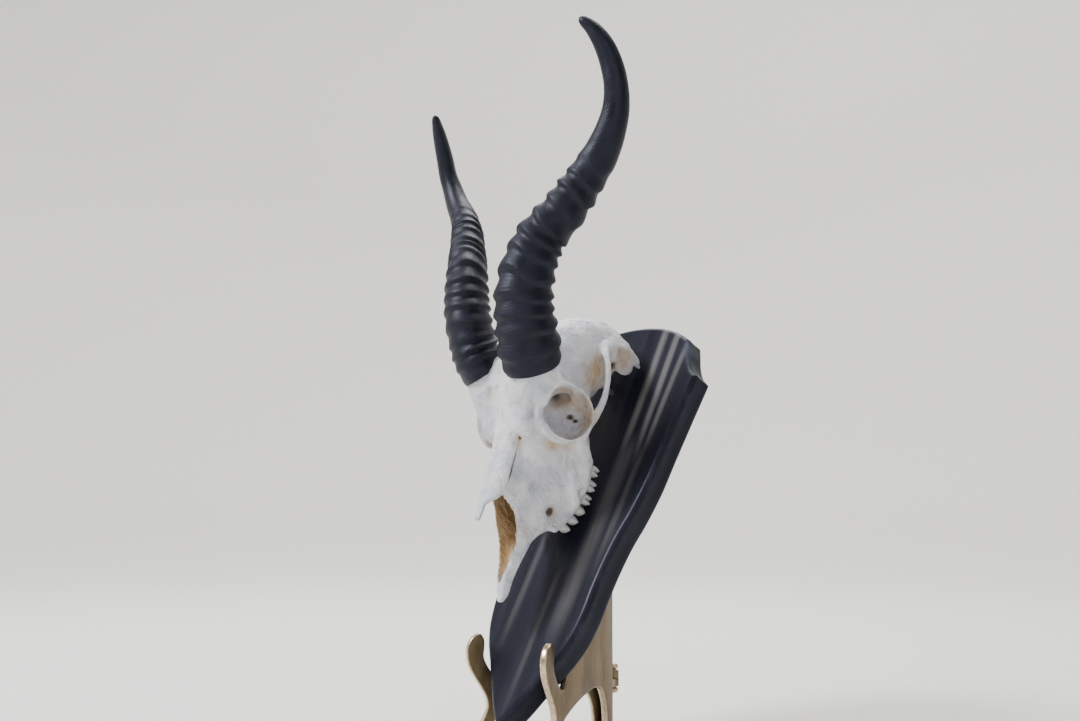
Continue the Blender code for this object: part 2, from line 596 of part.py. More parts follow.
def make_skull(group, cutters, parent):
    """Skull: lumps and bars fused and smoothed, then the hollows cut and the horn cores added."""
    bone = material("bone", (0.82, 0.80, 0.76), 0.55)
    skull = add_object("skull", skull_bodies(), group, parent, bone)
    fuse(skull, BONE_SMOOTHING)
    thin = skull.modifiers.new("fewer faces", "DECIMATE")
    thin.ratio = BONE_FACES_KEPT
    cavity = loft_mesh("nose cavity", section_rings(NOSE_CAVITY, 10, around=14))
    boolean(skull, add_cutter("nose cavity", cavity, cutters, parent), "DIFFERENCE")
    palate = loft_mesh("palate hollow", section_rings(PALATE, 6, around=12))
    boolean(skull, add_cutter("palate hollow", palate, cutters, parent), "DIFFERENCE")
    for side, word in ((1, "left"), (-1, "right")):
        hollow = bmesh.new()
        depth = SOCKET_DEPTH * SOCKET_FLOOR_SHARE
        deep = socket_matrix(side) @ Matrix.Translation((0, 0, depth - SOCKET_DEPTH))
        radius = SOCKET_RADIUS - SOCKET_MOUTH_INSET
        bmesh.ops.create_icosphere(hollow, subdivisions=3, radius=1,
                                   matrix=deep @ Matrix.Diagonal((radius, radius, depth, 1)))
        mesh = bpy.data.meshes.new(f"{word} socket")
        hollow.to_mesh(mesh)
        hollow.free()
        boolean(skull, add_cutter(f"{word} socket", mesh, cutters, parent), "DIFFERENCE")
    for horn, word in ((LEFT_HORN, "left"), (RIGHT_HORN, "right")):
        around_sheath = np.linspace(0, HORN_SLANTED, SHEATH_ROOM_RINGS)
        rings = horn_rings(horn, around_sheath, grow=horn["ring_depth"] + GAP, around=14)
        tangent = horn_frame(horn, np.zeros(1))[1][0]
        rings[0] = rings[0] - tangent * GAP
        envelope = loft_mesh(f"{word} sheath room", rings)
        boolean(skull, add_cutter(f"{word} sheath room", envelope, cutters, parent), "DIFFERENCE")
        core_top = HORN_CORE_LENGTH - HORN_CORE_CLEARANCE
        core_shares = np.linspace(-HORN_CORE_OVERRUN, core_top, 5)
        core = loft_mesh(f"{word} horn core", horn_core_rings(horn, core_shares, 0))
        boolean(skull, add_cutter(f"{word} horn core", core, cutters, parent), "UNION")
    boolean(skull, screw_hole("skull screw hole", cutters, parent), "DIFFERENCE")
    return skull


def tooth_outline(length, points, grow=0.0):
    """Side view of a tooth from its tip at height 0: a crown of one or two points, and a root."""
    half = length / 2 + grow
    neck = half - TOOTH_NECK_INSET
    crown = [(-half, TOOTH_CUSP)]
    for i in range(points):
        middle = -length / 2 + (i + 0.5) * length / points
        crown.append((middle, 0))
        if i < points - 1:
            crown.append((middle + length / points / 2, TOOTH_CUSP))
    crown.append((half, TOOTH_CUSP))
    return crown + [(neck, TOOTH_NECK), (neck, TOOTH_ROOT + grow), (-neck, TOOTH_ROOT + grow),
                    (-neck, TOOTH_NECK)]


def make_teeth(group, cutters, parent, skull):
    """Cheek teeth, each in a socket of its own in the jaw."""
    enamel = material("tooth enamel", (0.60, 0.58, 0.55), 0.35)
    place = TOOTH_START
    for name, length, points in TEETH:
        middle = place + length / 2
        place += length + TOOTH_SPACING
        reach, tip = table(TOOTH_ROW, [middle])[0]
        for side, word in ((1, "left"), (-1, "right")):
            seat = Matrix(((0, 0, 1, side * reach), (1, 0, 0, middle), (0, 1, 0, tip), (0, 0, 0, 1)))
            tooth = plate_mesh(f"{word}_{name}", tooth_outline(length, points), TOOTH_WIDTH,
                               TOOTH_ROUNDING)
            tooth.transform(seat)
            add_object(f"{word}_{name}", tooth, group, parent, enamel)
            socket = plate_mesh(f"{word} {name} socket", tooth_outline(length, points, GAP),
                                TOOTH_WIDTH + 2 * GAP, TOOTH_ROUNDING)
            socket.transform(seat)
            boolean(skull, add_cutter(f"{word} {name} socket", socket, cutters, parent), "DIFFERENCE")


def rest_reach(height):
    """Reach from the hinge line at which a plate meets the board's back, at a height."""
    back = (BOARD_THICK + math.sin(LEAN) * (height - FACE_HEIGHT)) / math.cos(LEAN)
    clear_of_corner = PLATE_THICK / 2 * math.tan(EASEL_SPREAD)
    return (HINGE_Y - back) / math.cos(EASEL_SPREAD) - clear_of_corner - GAP / math.cos(LEAN)


def plate_outline():
    """Easel plate, anticlockwise: rear leg, arch, front leg, hook, rest and top."""
    arch = along(PLATE_ARCH, 12)[::-1]
    front = along(PLATE_FRONT, 25)[::-1]
    rest_top = PLATE_TOP - PLATE_REAR_CORNER
    rest = [(rest_reach(REST_FOOT), REST_FOOT), (rest_reach(rest_top), rest_top),
            (rest_reach(PLATE_TOP) - PLATE_FRONT_CORNER, PLATE_TOP)]
    rear = [(PLATE_REAR + PLATE_REAR_CORNER, PLATE_TOP), (PLATE_REAR, rest_top), (PLATE_REAR, 0)]
    return np.concatenate([arch, front, rest, rear])


def plate_frame(side):
    """Frame of one plate: X along its reach, Y up, Z through its thickness."""
    reach = Vector((side * math.sin(EASEL_SPREAD), -math.cos(EASEL_SPREAD), 0))
    up = Vector((0, 0, 1))
    through = reach.cross(up)
    turn = Matrix((reach, up, through)).transposed().to_4x4()
    return Matrix.Translation((0, HINGE_Y, 0)) @ turn


def make_easel(group, cutters, parent):
    """Two cast plates that fold about pins through their lugs."""
    brass = material("cast brass", (0.38, 0.27, 0.13), 0.42, 1.0)
    for side, word in ((1, "left"), (-1, "right")):
        name = f"easel_plate_{word}"
        mesh = plate_mesh(name, plate_outline(), PLATE_THICK, PLATE_ROUNDING)
        plate = add_object(name, mesh, group, parent, brass)
        plate.matrix_local = plate_frame(side)
        for i, height in enumerate(LUG_HEIGHTS):
            low = height if side == 1 else height + LUG_HEIGHT + GAP
            middle = low + LUG_HEIGHT / 2
            lug = lug_mesh(f"{word} lug {i}")
            tab = add_cutter(f"{word} lug {i}", lug, cutters, plate)
            tab.location = (0, middle, 0)
            boolean(plate, tab, "UNION")
            bore_profile = [(0, LUG_HEIGHT), (PIN_RADIUS + GAP, LUG_HEIGHT),
                            (PIN_RADIUS + GAP, -LUG_HEIGHT), (0, -LUG_HEIGHT)]
            bore = turned_mesh(f"{word} bore {i}", bore_profile, 8)
            bore.transform(Matrix.Rotation(math.radians(-90), 4, "X"))
            hole = add_cutter(f"{word} bore {i}", bore, cutters, plate)
            hole.location = (0, middle, 0)
            boolean(plate, hole, "DIFFERENCE")
    for i, height in enumerate(LUG_HEIGHTS):
        name = ("hinge_pin_low", "hinge_pin_high")[i]
        low = height - GAP
        high = height + 2 * LUG_HEIGHT + 2 * GAP
        pin = turned_mesh(name, pin_profile(low, high), 8)
        thing = add_object(name, pin, group, parent, brass)
        thing.location = (0, HINGE_Y, 0)


def lug_mesh(name):
    """Round lug about the hinge line with a tab that runs into the plate."""
    outline = [(LUG_RADIUS * math.cos(turn), LUG_RADIUS * math.sin(turn))
               for turn in np.linspace(LUG_MOUTH, 2 * math.pi - LUG_MOUTH, 8)]
    half = PLATE_THICK / 2 - PLATE_ROUNDING / 2
    outline += [(PLATE_REAR + LUG_TAB, -half), (PLATE_REAR + LUG_TAB, half)]
    mesh = plate_mesh(name, outline, LUG_HEIGHT, LUG_ROUNDING)
    mesh.transform(Matrix(((1, 0, 0, 0), (0, 0, 1, 0), (0, -1, 0, 0), (0, 0, 0, 1))))
    return mesh


def pin_profile(low, high):
    """Pin with a round knob at each end, top to bottom."""
    rise = PIN_KNOB_RADIUS * PIN_KNOB_FLATNESS
    arc = np.linspace(0, math.pi, 4)
    round_out = PIN_KNOB_RADIUS * np.sin(arc)
    top = list(zip(round_out, high + rise + rise * np.cos(arc)))
    bottom = list(zip(round_out, low - rise + rise * np.cos(arc)))
    shank = [(PIN_RADIUS, high), (PIN_RADIUS, low)]
    return top[:-1] + shank + bottom[1:]


def build_trophy():
    clear_scene()
    group = collection("springbok skull trophy")
    cutters = collection("cutters")
    root = bpy.data.objects.new("centre of footprint", None)
    trophy = bpy.data.objects.new("trophy frame", None)
    for empty in (root, trophy):
        group.objects.link(empty)
    root.location = (0, -FOOTPRINT_CENTRE, 0)
    trophy.parent = root
    trophy.location = (0, 0, FACE_HEIGHT)
    trophy.rotation_euler = (math.radians(90) - LEAN, 0, 0)
    make_board(group, cutters, trophy)
    make_screw(group, trophy)
    skull = make_skull(group, cutters, trophy)
    make_teeth(group, cutters, trophy, skull)
    make_horn("horn_left", LEFT_HORN, group, cutters, trophy)
    make_horn("horn_right", RIGHT_HORN, group, cutters, trophy)
    make_easel(group, cutters, root)


build_trophy()
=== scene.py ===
import math

import bmesh
import bpy
import numpy as np
from mathutils import Matrix, Vector


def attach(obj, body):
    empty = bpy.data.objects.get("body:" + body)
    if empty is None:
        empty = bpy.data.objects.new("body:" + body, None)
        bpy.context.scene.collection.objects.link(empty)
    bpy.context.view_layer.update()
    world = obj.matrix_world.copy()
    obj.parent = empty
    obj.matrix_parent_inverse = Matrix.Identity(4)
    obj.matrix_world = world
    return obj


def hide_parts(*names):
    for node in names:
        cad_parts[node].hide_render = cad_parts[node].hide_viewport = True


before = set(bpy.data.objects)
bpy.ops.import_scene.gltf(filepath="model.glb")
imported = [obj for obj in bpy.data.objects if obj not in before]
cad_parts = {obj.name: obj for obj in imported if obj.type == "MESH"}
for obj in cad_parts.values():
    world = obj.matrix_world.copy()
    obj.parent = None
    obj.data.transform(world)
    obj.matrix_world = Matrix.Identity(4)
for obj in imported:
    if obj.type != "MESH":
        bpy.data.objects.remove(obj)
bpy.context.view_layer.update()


# Shield board: the plaque of black-stained, satin-varnished wood that carries the skull, sawn to a
# shield outline with a cove at each shoulder, its edges rounded over with sandpaper. It leans back
# in the easel, and everything on it is placed across, along and out of its face.

LEAN = math.radians(26)
FACE_HEIGHT = 0.105
FOOTPRINT_CENTRE = 0.0276

BOARD_THICK = 0.018
# Half of the face's outline, across and along: the flank up from the foot, the cove, the arch
FLANK = [(0, -0.088), (0.010, -0.076), (0.020, -0.061), (0.030, -0.046), (0.038, -0.034),
         (0.044, -0.021), (0.0475, -0.005), (0.049, 0.014), (0.0515, 0.033), (0.055, 0.050),
         (0.061, 0.069), (0.066, 0.090), (0.070, 0.120), (0.0745, 0.152), (0.0785, 0.179)]
COVE = [(0.0785, 0.179), (0.072, 0.185), (0.066, 0.195), (0.062, 0.206), (0.0595, 0.2125)]
ARCH = [(0.0595, 0.2125), (0.046, 0.2207), (0.031, 0.2262), (0.015, 0.2291), (0, 0.2300)]
# Inset and height of the edge, from the face round to the back
EDGE = [(0.0040, 0.0), (0.0030, -0.0001), (0.0021, -0.0004), (0.0013, -0.0009), (0.0006, -0.0016),
        (0.0002, -0.0024), (0.0, -0.0034), (0.0001, -0.0050), (0.0003, -0.0080), (0.0003, -0.0110),
        (0.0001, -0.0140), (0.0, -0.0158), (0.0002, -0.0170), (0.0006, -0.0176), (0.0014, -0.0180)]
HALF_OUTLINE_POINTS = 260
FACE_STRIPS = 14
# How worn the front arris and the rest of the side are, with the blue-grey painted sheen they carry,
# over how many rows of the edge, and where the wear and the painted sheen gather at the shoulders
ARRIS_WEAR_AND_SHEEN, ARRIS_ROWS = 0.75, 5
SIDE_WEAR_AND_SHEEN, SIDE_ROWS = 0.5, 12
SHOULDER_PLACE, SHOULDER_REACH = 0.200, 0.012


def stand_up(points):
    """World places of points given across, along and out of the board's face: the leaning frame
    turned about the X axis and set at the height of the face."""
    across, along, out = np.moveaxis(np.asarray(points, float), -1, 0)
    depth = along * math.sin(LEAN) - out * math.cos(LEAN) - FOOTPRINT_CENTRE
    height = FACE_HEIGHT + along * math.cos(LEAN) + out * math.sin(LEAN)
    return np.stack([across, depth, height], axis=-1)


def read_rows(places, values, wanted):
    """Smooth reading of values given at rising places: cubic pieces that leave each given point
    along the slope between its neighbours."""
    places, values = np.asarray(places, float), np.asarray(values, float)
    wanted = np.asarray(wanted, float)
    slopes = np.gradient(values, places, axis=0)
    i = np.clip(np.searchsorted(places, wanted, side="right") - 1, 0, len(places) - 2)
    span = (places[i + 1] - places[i])[:, None]
    t = ((wanted - places[i])[:, None] / span).clip(0, 1)
    return ((1 + 2 * t) * (1 - t) ** 2 * values[i] + t * (1 - t) ** 2 * span * slopes[i]
            + t * t * (3 - 2 * t) * values[i + 1] + t * t * (t - 1) * span * slopes[i + 1])


def smooth_line(points, count):
    """Evenly spaced points on a smooth line through the given ones."""
    points = np.asarray(points, float)
    steps = np.linalg.norm(np.diff(points, axis=0), axis=1)
    places = np.concatenate([[0], np.cumsum(steps)])
    return read_rows(places, points, np.linspace(0, places[-1], count))


def strip_faces(rows, across, closed_across=False):
    """Four-sided faces between neighbouring rows of a grid of points, wrapping round where asked."""
    i, j = np.meshgrid(np.arange(rows - 1), np.arange(across if closed_across else across - 1),
                       indexing="ij")
    k, m = i + 1, (j + 1) % across
    faces = np.stack([i * across + j, i * across + m, k * across + m, k * across + j], axis=-1)
    return faces.reshape(-1, 4)


def new_piece(name, points, faces, finish):
    """Object at the origin whose mesh has the given world points and four-sided faces."""
    points, faces = np.asarray(points, float).reshape(-1, 3), np.asarray(faces)
    mesh = bpy.data.meshes.new(name)
    mesh.vertices.add(len(points))
    mesh.vertices.foreach_set("co", points.ravel())
    mesh.loops.add(faces.size)
    mesh.polygons.add(len(faces))
    mesh.polygons.foreach_set("loop_start", np.arange(0, faces.size, 4))
    mesh.polygons.foreach_set("vertices", faces.ravel())
    mesh.update(calc_edges=True)
    mesh.validate()
    mesh.polygons.foreach_set("use_smooth", np.full(len(mesh.polygons), True))
    mesh.materials.append(finish)
    piece = bpy.data.objects.new(name, mesh)
    bpy.context.scene.collection.objects.link(piece)
    return piece


def mark(piece, name, values):
    """Stores one number, or one place of three numbers, for each point of a piece."""
    values = np.asarray(values, float)
    kind, field = ("FLOAT", "value") if values.ndim == 1 else ("FLOAT_VECTOR", "vector")
    piece.data.attributes.new(name, kind, "POINT").data.foreach_set(field, values.ravel())


def wire(tree, kind, settings=None, **inputs):
    """New shader node with its settings, its inputs set from values or joined to other sockets.
    An input goes by its label, or by an i and its number."""
    node = tree.nodes.new(kind)
    for key, value in (settings or {}).items():
        setattr(node, key, value)
    for key, value in inputs.items():
        numbered = key[0] == "i" and key[1:].isdigit()
        socket = node.inputs[int(key[1:]) if numbered else key.replace("_", " ")]
        if isinstance(value, bpy.types.NodeSocket):
            tree.links.new(value, socket)
        else:
            socket.default_value = value
    return node


def blank_finish(name):
    """Material with a Principled shader, and the tree and shader to work on."""
    finish = bpy.data.materials.new(name)
    finish.use_nodes = True
    return finish, finish.node_tree, finish.node_tree.nodes["Principled BSDF"]


def noise(tree, place, scale, detail=4.0, roughness=0.55):
    """Cloudy pattern from 0 to 1."""
    return wire(tree, "ShaderNodeTexNoise", Vector=place, Scale=scale, Detail=detail,
                Roughness=roughness).outputs["Fac"]


def between(tree, value, low, high, start=0.0, end=1.0):
    """A value's way from low to high, eased, as a number from start to end."""
    return wire(tree, "ShaderNodeMapRange", {"interpolation_type": "SMOOTHSTEP"}, Value=value,
                i1=low, i2=high, i3=start, i4=end).outputs[0]


def reckon(tree, operation, a, b=0.0, c=0.0):
    """Result of one step of arithmetic on up to three values."""
    return wire(tree, "ShaderNodeMath", {"operation": operation}, i0=a, i1=b, i2=c).outputs[0]


def tint(tree, share, first, second):
    """Colour that goes from the first to the second with the share."""
    mix = wire(tree, "ShaderNodeMix", {"data_type": "RGBA"}, i0=share)
    for socket, value in ((mix.inputs[6], first), (mix.inputs[7], second)):
        if isinstance(value, bpy.types.NodeSocket):
            tree.links.new(value, socket)
        else:
            socket.default_value = (*value, 1)
    return mix.outputs[2]


def stretched(tree, place, sizes):
    """Place with each of its three measures multiplied, so a pattern on it is drawn out."""
    return wire(tree, "ShaderNodeMapping", Vector=place, Scale=sizes).outputs[0]


def attribute(tree, name):
    """Node that reads what mark stored on a piece."""
    return wire(tree, "ShaderNodeAttribute", {"attribute_name": name})


def relief(tree, shader, height, strength, distance, under=None):
    """Bump whose height is the pattern times a distance in metres, laid over another if given."""
    bump = wire(tree, "ShaderNodeBump", Height=height, Strength=strength, Distance=distance)
    if under is not None:
        tree.links.new(under, bump.inputs["Normal"])
    tree.links.new(bump.outputs[0], shader.inputs["Normal"])
    return bump.outputs[0]


# Streaks painted into the colour, the broad fourth one a painted sheen: middle line across the board
# where along is zero, its drift across for each metre along, half width, start and end along the
# board, strength
STREAKS = [(0.0272, 0.036, 0.0056, 0.125, 0.228, 0.80), (0.0414, 0.034, 0.0050, 0.128, 0.224, 0.85),
           (0.0415, 0.096, 0.0042, 0.130, 0.204, 0.70), (0.0268, 0.076, 0.0120, -0.010, 0.126, 0.42),
           (-0.0205, 0.080, 0.0050, -0.020, 0.060, 0.30), (0.0400, 0.100, 0.0050, 0.040, 0.120, 0.30),
           (-0.0400, 0.040, 0.0050, 0.060, 0.215, 0.22), (0.0080, 0.050, 0.0040, -0.060, 0.020, 0.28)]


def half_outline():
    """Half of the shield's outline, from its foot to the top of its arch: the three stretches, each
    with its share of the points."""
    parts = [smooth_line(rows, round(share * HALF_OUTLINE_POINTS))
             for rows, share in ((FLANK, 0.66), (COVE, 0.14), (ARCH, 0.2))]
    return np.concatenate([parts[0], parts[1][1:], parts[2][1:]])


def inset_outline(outline, inset):
    """Outline moved inwards by an inset. Points that would come nearer than that to another stretch
    of the edge are dropped, and the rest are spread over the gap, so corners stay sharp."""
    whole = np.concatenate([outline, outline[-2:0:-1] * (-1, 1)])
    edge = np.roll(whole, -1, axis=0) - np.roll(whole, 1, axis=0)
    edge /= np.linalg.norm(edge, axis=1)[:, None]
    moved = (whole + np.stack([-edge[:, 1], edge[:, 0]], axis=1) * inset)[:len(outline)]
    gaps = np.linalg.norm(moved[:, None] - whole[None], axis=2).min(axis=1)
    kept = (gaps > inset * 0.985 - 1e-6) & (moved[:, 0] > -1e-9)
    kept[-1] = True
    order = np.arange(len(outline))
    first = moved[np.argmax(kept)]
    places = np.concatenate([[-1], order[kept]])
    x = np.interp(order, places, np.concatenate([[0], moved[kept, 0]]))
    y = np.interp(order, places, np.concatenate([[first[1] - first[0]], moved[kept, 1]]))
    x[0] = x[-1] = 0
    return np.stack([x, y], axis=1)


def stained_wood():
    """Black stain over long grain: near-black blue wood, pale streaks painted in, the broad one a
    painted sheen, faint pores along the board, and worn blue-grey arrises and sides with a painted
    sheen."""
    deep_stain, thin_stain = (0.0042, 0.0044, 0.0100), (0.0090, 0.0094, 0.0185)
    open_pore = (0.022, 0.021, 0.024)
    pale_streak_and_sheen, bare_edge_and_sheen = (0.125, 0.119, 0.118), (0.060, 0.068, 0.105)
    finish, tree, shader = blank_finish("stained wood")
    place = attribute(tree, "board_place").outputs["Vector"]
    split = wire(tree, "ShaderNodeSeparateXYZ", Vector=place)
    across, along = split.outputs[0], split.outputs[1]
    drift = noise(tree, stretched(tree, place, (0.6, 0.05, 0.6)), 40, 2)
    wander = reckon(tree, "MULTIPLY_ADD", drift, 0.006, -0.003)
    streak_line = reckon(tree, "ADD", across, wander)
    streaks = None
    for middle, lean, half, low, high, strength in STREAKS:
        middle_line = reckon(tree, "MULTIPLY_ADD", along, lean, middle)
        line = reckon(tree, "SUBTRACT", streak_line, middle_line)
        side = between(tree, reckon(tree, "ABSOLUTE", line), half, half * 0.1)
        run = reckon(tree, "MULTIPLY", between(tree, along, low - 0.03, low + 0.02),
                     between(tree, along, high + 0.012, high - 0.012))
        one = reckon(tree, "MULTIPLY", reckon(tree, "MULTIPLY", side, run), strength)
        streaks = one if streaks is None else reckon(tree, "MAXIMUM", streaks, one)
    grain = noise(tree, stretched(tree, place, (1, 0.03, 1)), 420, 5, 0.65)
    broad = noise(tree, stretched(tree, place, (1, 0.06, 1)), 70, 3)
    streaks = reckon(tree, "MULTIPLY", streaks, between(tree, grain, 0.25, 0.6, 0.65, 1))
    colour = tint(tree, between(tree, broad, 0.35, 0.7), deep_stain, thin_stain)
    colour = tint(tree, between(tree, grain, 0.56, 0.75, 0, 0.4), colour, open_pore)
    # pale streaks painted into the colour; the broad one is a painted sheen
    colour = tint(tree, streaks, colour, pale_streak_and_sheen)
    # worn, scuffed arrises and sides, painted blue-grey as the sheen they catch, most at the shoulders
    wear_and_sheen = attribute(tree, "wear_and_sheen").outputs["Fac"]
    scuff = between(tree, noise(tree, stretched(tree, place, (1, 0.25, 0.8)), 130, 5), 0.42, 0.66)
    scuffed = reckon(tree, "ADD", wear_and_sheen, reckon(tree, "MULTIPLY_ADD", scuff, 0.5, -0.5))
    worn_sheen_share = between(tree, scuffed, 0, 1)
    colour = tint(tree, worn_sheen_share, colour, bare_edge_and_sheen)
    tree.links.new(colour, shader.inputs["Base Color"])
    dull = between(tree, broad, 0.3, 0.75, 0.30, 0.42)
    dull = reckon(tree, "MULTIPLY_ADD", wear_and_sheen, 0.35, dull)
    tree.links.new(reckon(tree, "MULTIPLY_ADD", streaks, 0.12, dull), shader.inputs["Roughness"])
    shader.inputs["Specular IOR Level"].default_value = 0.20
    shader.inputs["Specular Tint"].default_value = (0.84, 0.88, 1.0, 1)
    pores = relief(tree, shader, grain, 0.22, 0.0003)
    waviness = noise(tree, stretched(tree, place, (1, 0.3, 1)), 60, 2)
    relief(tree, shader, waviness, 0.25, 0.0008, pores)
    return finish


outline = half_outline()
rings = [np.column_stack([inset_outline(outline, inset), np.full(len(outline), height)])
         for inset, height in EDGE]
face_shares = np.linspace(0, 1, FACE_STRIPS)[:, None, None]
inward = rings[0][None] * np.concatenate([face_shares, np.ones((FACE_STRIPS, 1, 2))], axis=2)
back = rings[-1][None] * np.concatenate([face_shares[::-1], np.ones((FACE_STRIPS, 1, 2))], axis=2)
half_board = np.concatenate([inward[:-1], np.array(rings), back[1:]])
board_rows, board_across = half_board.shape[:2]
board_points = np.concatenate([half_board.reshape(-1, 3), (half_board * (-1, 1, 1)).reshape(-1, 3)])
half_faces = strip_faces(board_rows, board_across)[:, ::-1]
board_faces = np.concatenate([half_faces, half_faces[:, ::-1] + board_rows * board_across])
board = new_piece("shield_board", stand_up(board_points), board_faces, stained_wood())
mark(board, "board_place", board_points)
# wear and painted sheen on the rows of the side, strongest at the arris and the shoulders
wear_and_sheen_rows = np.zeros((board_rows, board_across))
wear_and_sheen_rows[FACE_STRIPS + 1:FACE_STRIPS + 1 + SIDE_ROWS] = SIDE_WEAR_AND_SHEEN
wear_and_sheen_rows[FACE_STRIPS + 1:FACE_STRIPS + 1 + ARRIS_ROWS] = ARRIS_WEAR_AND_SHEEN
shoulder = np.exp(-((outline[:, 1] - SHOULDER_PLACE) / SHOULDER_REACH) ** 2)
mark(board, "wear_and_sheen", np.tile((wear_and_sheen_rows * (0.35 + shoulder)).clip(0, 1).ravel(), 2))
weld = board.modifiers.new("middle seam", "WELD")
weld.merge_threshold = 0.00001
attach(board, "root")
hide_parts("board")


# Skull screw: a round-headed steel wood screw, driven from the back of the board into the base of
# the skull. Only its head shows, with a cross recess.

SCREW_PLACE = 0.170
SCREW_SHANK = 0.0020
SCREW_HEAD = 0.0045
SCREW_TIP = 0.030
SCREW_AROUND = 72
# Radius and height out of the board's face, from the tip to the top of the head
SCREW_PROFILE = [(0, SCREW_TIP), (0.0010, SCREW_TIP - 0.0030), (SCREW_SHANK, SCREW_TIP - 0.0060),
                 (SCREW_SHANK, -0.0182), (SCREW_HEAD, -0.0184), (SCREW_HEAD, -0.0190),
                 (0.0041, -0.0200), (0.0034, -0.0207), (0.0025, -0.0211), (0.0018, -0.0213),
                 (0.0012, -0.0213), (0.0007, -0.0213), (0, -0.0213)]
RECESS_HALF_WIDTH = 0.0005
RECESS_REACH = 0.0024
RECESS_DEPTH = 0.0012
RECESS_FROM = -0.0195


def steel():
    """Dull zinc-plated steel in two greys, clouded, with a fine grain."""
    finish, tree, shader = blank_finish("zinc-plated steel")
    place = wire(tree, "ShaderNodeTexCoord").outputs["Object"]
    cloud = noise(tree, place, 700, 4)
    tree.links.new(tint(tree, cloud, (0.36, 0.36, 0.37), (0.56, 0.55, 0.52)),
                   shader.inputs["Base Color"])
    tree.links.new(between(tree, cloud, 0.3, 0.7, 0.28, 0.5), shader.inputs["Roughness"])
    shader.inputs["Metallic"].default_value = 1.0
    relief(tree, shader, noise(tree, place, 2500, 3), 0.2, 0.0001)
    return finish


screw_steps = zip(SCREW_PROFILE, SCREW_PROFILE[1:])
screw_profile = np.concatenate([np.linspace(a, b, 5)[:-1] for a, b in screw_steps]
                               + [np.array(SCREW_PROFILE[-1:])])
screw_radius, screw_height = screw_profile[:, :1], screw_profile[:, 1:]
screw_turn = np.linspace(0, 2 * np.pi, SCREW_AROUND, endpoint=False)
screw_x = screw_radius * np.cos(screw_turn)
screw_y = screw_radius * np.sin(screw_turn)
from_cross = np.minimum(np.abs(screw_x), np.abs(screw_y))
in_recess = (from_cross < RECESS_HALF_WIDTH) & (screw_radius < RECESS_REACH)
in_recess &= screw_height < RECESS_FROM
screw_z = screw_height + RECESS_DEPTH * in_recess
screw_points = np.stack([screw_x, screw_y + SCREW_PLACE, screw_z], axis=-1)
screw = new_piece("round_head_screw", stand_up(screw_points),
                  strip_faces(*screw_z.shape, closed_across=True)[:, ::-1], steel())
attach(screw, "root")
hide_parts("skull_screw")


# Skull: one grown piece of bone, boiled clean and bleached, with tan stains and painted shade in its
# recesses and holes and ochre inside the nose. It hangs nose down on the board, held by the screw in
# its base. Its skin is the zero surface of a distance field: sections, bars and lumps softly joined,
# then hollows cut.

# Grid over one half of the head, across, along and out of the board
CELL = 0.00106
HALF_CELLS = 47
across_half = (np.arange(HALF_CELLS) + 0.5) * CELL
along_head = np.arange(-0.0175, 0.219, CELL)
out_of_board = np.arange(-0.004, 0.119, CELL)
GRID = (across_half, along_head, out_of_board)

# Rows of place along the head, roof, floor, half width of the roof, half width of the floor: three
# bodies, then three hollows
FACE = [(-0.0135, 0.0340, 0.0312, 0.0018, 0.0024), (-0.007, 0.0368, 0.0295, 0.0034, 0.0046),
        (0.001, 0.0405, 0.0308, 0.0042, 0.0068), (0.010, 0.0430, 0.0318, 0.0054, 0.0088),
        (0.022, 0.0470, 0.0312, 0.0078, 0.0118), (0.034, 0.0565, 0.0288, 0.0100, 0.0144),
        (0.042, 0.0622, 0.0230, 0.0108, 0.0172), (0.050, 0.0700, 0.0168, 0.0112, 0.0208),
        (0.060, 0.0718, 0.0132, 0.0120, 0.0240), (0.074, 0.0740, 0.0120, 0.0132, 0.0270),
        (0.088, 0.0775, 0.0138, 0.0165, 0.0292), (0.098, 0.0810, 0.0168, 0.0215, 0.0302),
        (0.110, 0.0860, 0.0240, 0.0265, 0.0285), (0.124, 0.0900, 0.0300, 0.0265, 0.0220),
        (0.138, 0.0930, 0.0340, 0.0230, 0.0170)]
CRANIUM = [(0.094, 0.0790, 0.0480, 0.0150, 0.0250), (0.104, 0.0870, 0.0420, 0.0225, 0.0280),
           (0.114, 0.0945, 0.0390, 0.0275, 0.0290), (0.124, 0.1015, 0.0360, 0.0295, 0.0265),
           (0.134, 0.1045, 0.0330, 0.0290, 0.0240), (0.145, 0.1010, 0.0290, 0.0260, 0.0230),
           (0.156, 0.0962, 0.0230, 0.0240, 0.0245), (0.168, 0.0895, 0.0180, 0.0235, 0.0250),
           (0.180, 0.0815, 0.0140, 0.0228, 0.0250), (0.190, 0.0725, 0.0120, 0.0210, 0.0240),
           (0.199, 0.0605, 0.0120, 0.0180, 0.0205), (0.206, 0.0490, 0.0145, 0.0130, 0.0150),
           (0.2120, 0.0370, 0.0200, 0.0060, 0.0075)]
NASALS = [(0.0262, 0.0758, 0.0740, 0.0022, 0.0022), (0.0280, 0.0764, 0.0742, 0.0030, 0.0030),
          (0.0340, 0.0769, 0.0744, 0.0030, 0.0032), (0.0395, 0.0771, 0.0742, 0.0032, 0.0040),
          (0.0425, 0.0773, 0.0726, 0.0056, 0.0088), (0.0470, 0.0776, 0.0700, 0.0072, 0.0118),
          (0.0600, 0.0786, 0.0690, 0.0078, 0.0124), (0.0750, 0.0808, 0.0690, 0.0082, 0.0130),
          (0.0900, 0.0845, 0.0690, 0.0090, 0.0140), (0.1060, 0.0900, 0.0700, 0.0112, 0.0162)]
